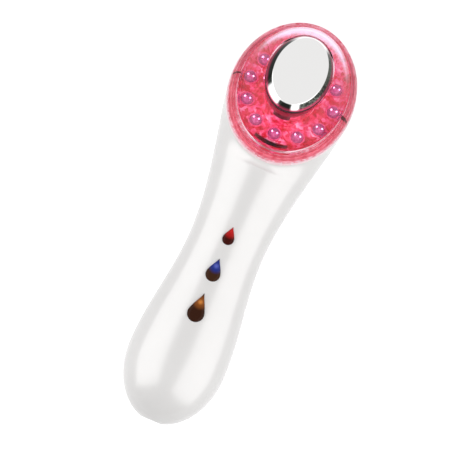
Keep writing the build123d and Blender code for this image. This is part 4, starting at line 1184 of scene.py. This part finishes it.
def build_stage():
    """White floor and surroundings."""
    corners = [(x * FLOOR_HALF, y * FLOOR_HALF, 0) for x, y in ((-1, -1), (1, -1), (1, 1), (-1, 1))]
    floor = mesh_object("floor", corners, [(0, 1, 2, 3)])
    material = bpy.data.materials.new("floor_white")
    material.use_nodes = True
    material.node_tree.nodes.clear()
    diffuse = node(material, "BsdfDiffuse", Color=(0.45, 0.45, 0.45))
    glow = node(material, "Emission", Color=(1, 1, 1), Strength=switch_strength(material, *FLOOR_GLOW))
    total = node(material, "AddShader")
    feed(material, total.inputs[0], diffuse.outputs[0])
    feed(material, total.inputs[1], glow.outputs[0])
    node(material, "OutputMaterial", Surface=total.outputs[0])
    floor.data.materials.append(material)
    world = bpy.data.worlds.new("studio")
    bpy.context.scene.world = world
    world.use_nodes = True
    background = world.node_tree.nodes["Background"]
    feed(world, background.inputs["Color"], (1, 1, 1))
    feed(world, background.inputs["Strength"], switch_strength(world, *WORLD_GLOW))


def turned_axes(back, turn):
    """Right and up of a thing that faces away from back, turned about that line."""
    side = Vector((0, 1, 0)).cross(back).normalized()
    up = back.cross(side)
    return side * cos(turn) + up * sin(turn), up * cos(turn) - side * sin(turn)


def set_place(obj, where, right, up, back):
    """Puts a new light or camera in the scene, with its axes along three directions."""
    bpy.context.scene.collection.objects.link(obj)
    axes = Matrix((right, up, back)).transposed().to_4x4()
    obj.matrix_world = Matrix.Translation(where) @ axes


def soft_box(name, where, width, length, power, turn):
    light = bpy.data.lights.new(name, "AREA")
    light.shape = "RECTANGLE"
    light.size = width
    light.size_y = length
    light.energy = power
    back = (Vector(where) - Vector(LIGHT_AIM)).normalized()
    right, up = turned_axes(back, turn)
    set_place(bpy.data.objects.new(name, light), where, right, up, back)


def build_camera():
    """Camera above the keys, leaning to the tail, turned so that the head points up and right."""
    back = Vector((
        sin(CAMERA_SIDE_LEAN),
        -sin(CAMERA_LEAN) * cos(CAMERA_SIDE_LEAN),
        cos(CAMERA_LEAN) * cos(CAMERA_SIDE_LEAN),
    ))
    right, up = turned_axes(back, CAMERA_ROLL)
    across = (HEAD_PIXEL[0] - PICTURE[0] / 2) * PIXEL_SIZE * MM
    rise = (PICTURE[1] / 2 - HEAD_PIXEL[1]) * PIXEL_SIZE * MM
    aim = head_point(0, 0, 0) - right * across - up * rise
    camera = bpy.data.cameras.new("camera")
    camera.sensor_width = SENSOR_WIDTH
    camera.lens = SENSOR_WIDTH * CAMERA_DISTANCE / (PICTURE[0] * PIXEL_SIZE * MM)
    camera.clip_start = 0.1
    camera.clip_end = 20.0
    obj = bpy.data.objects.new("camera", camera)
    set_place(obj, aim + back * CAMERA_DISTANCE, right, up, back)
    bpy.context.scene.camera = obj


build_shells()
build_lens()
build_seal()
build_reflector()
build_leds()
build_probe()
for key in KEYS:
    build_key(key)
build_socket()
dress_carried_nodes()
build_stage()
for box in SOFT_BOXES:
    soft_box(*box)
build_camera()
bpy.context.scene.view_settings.view_transform = "Standard"
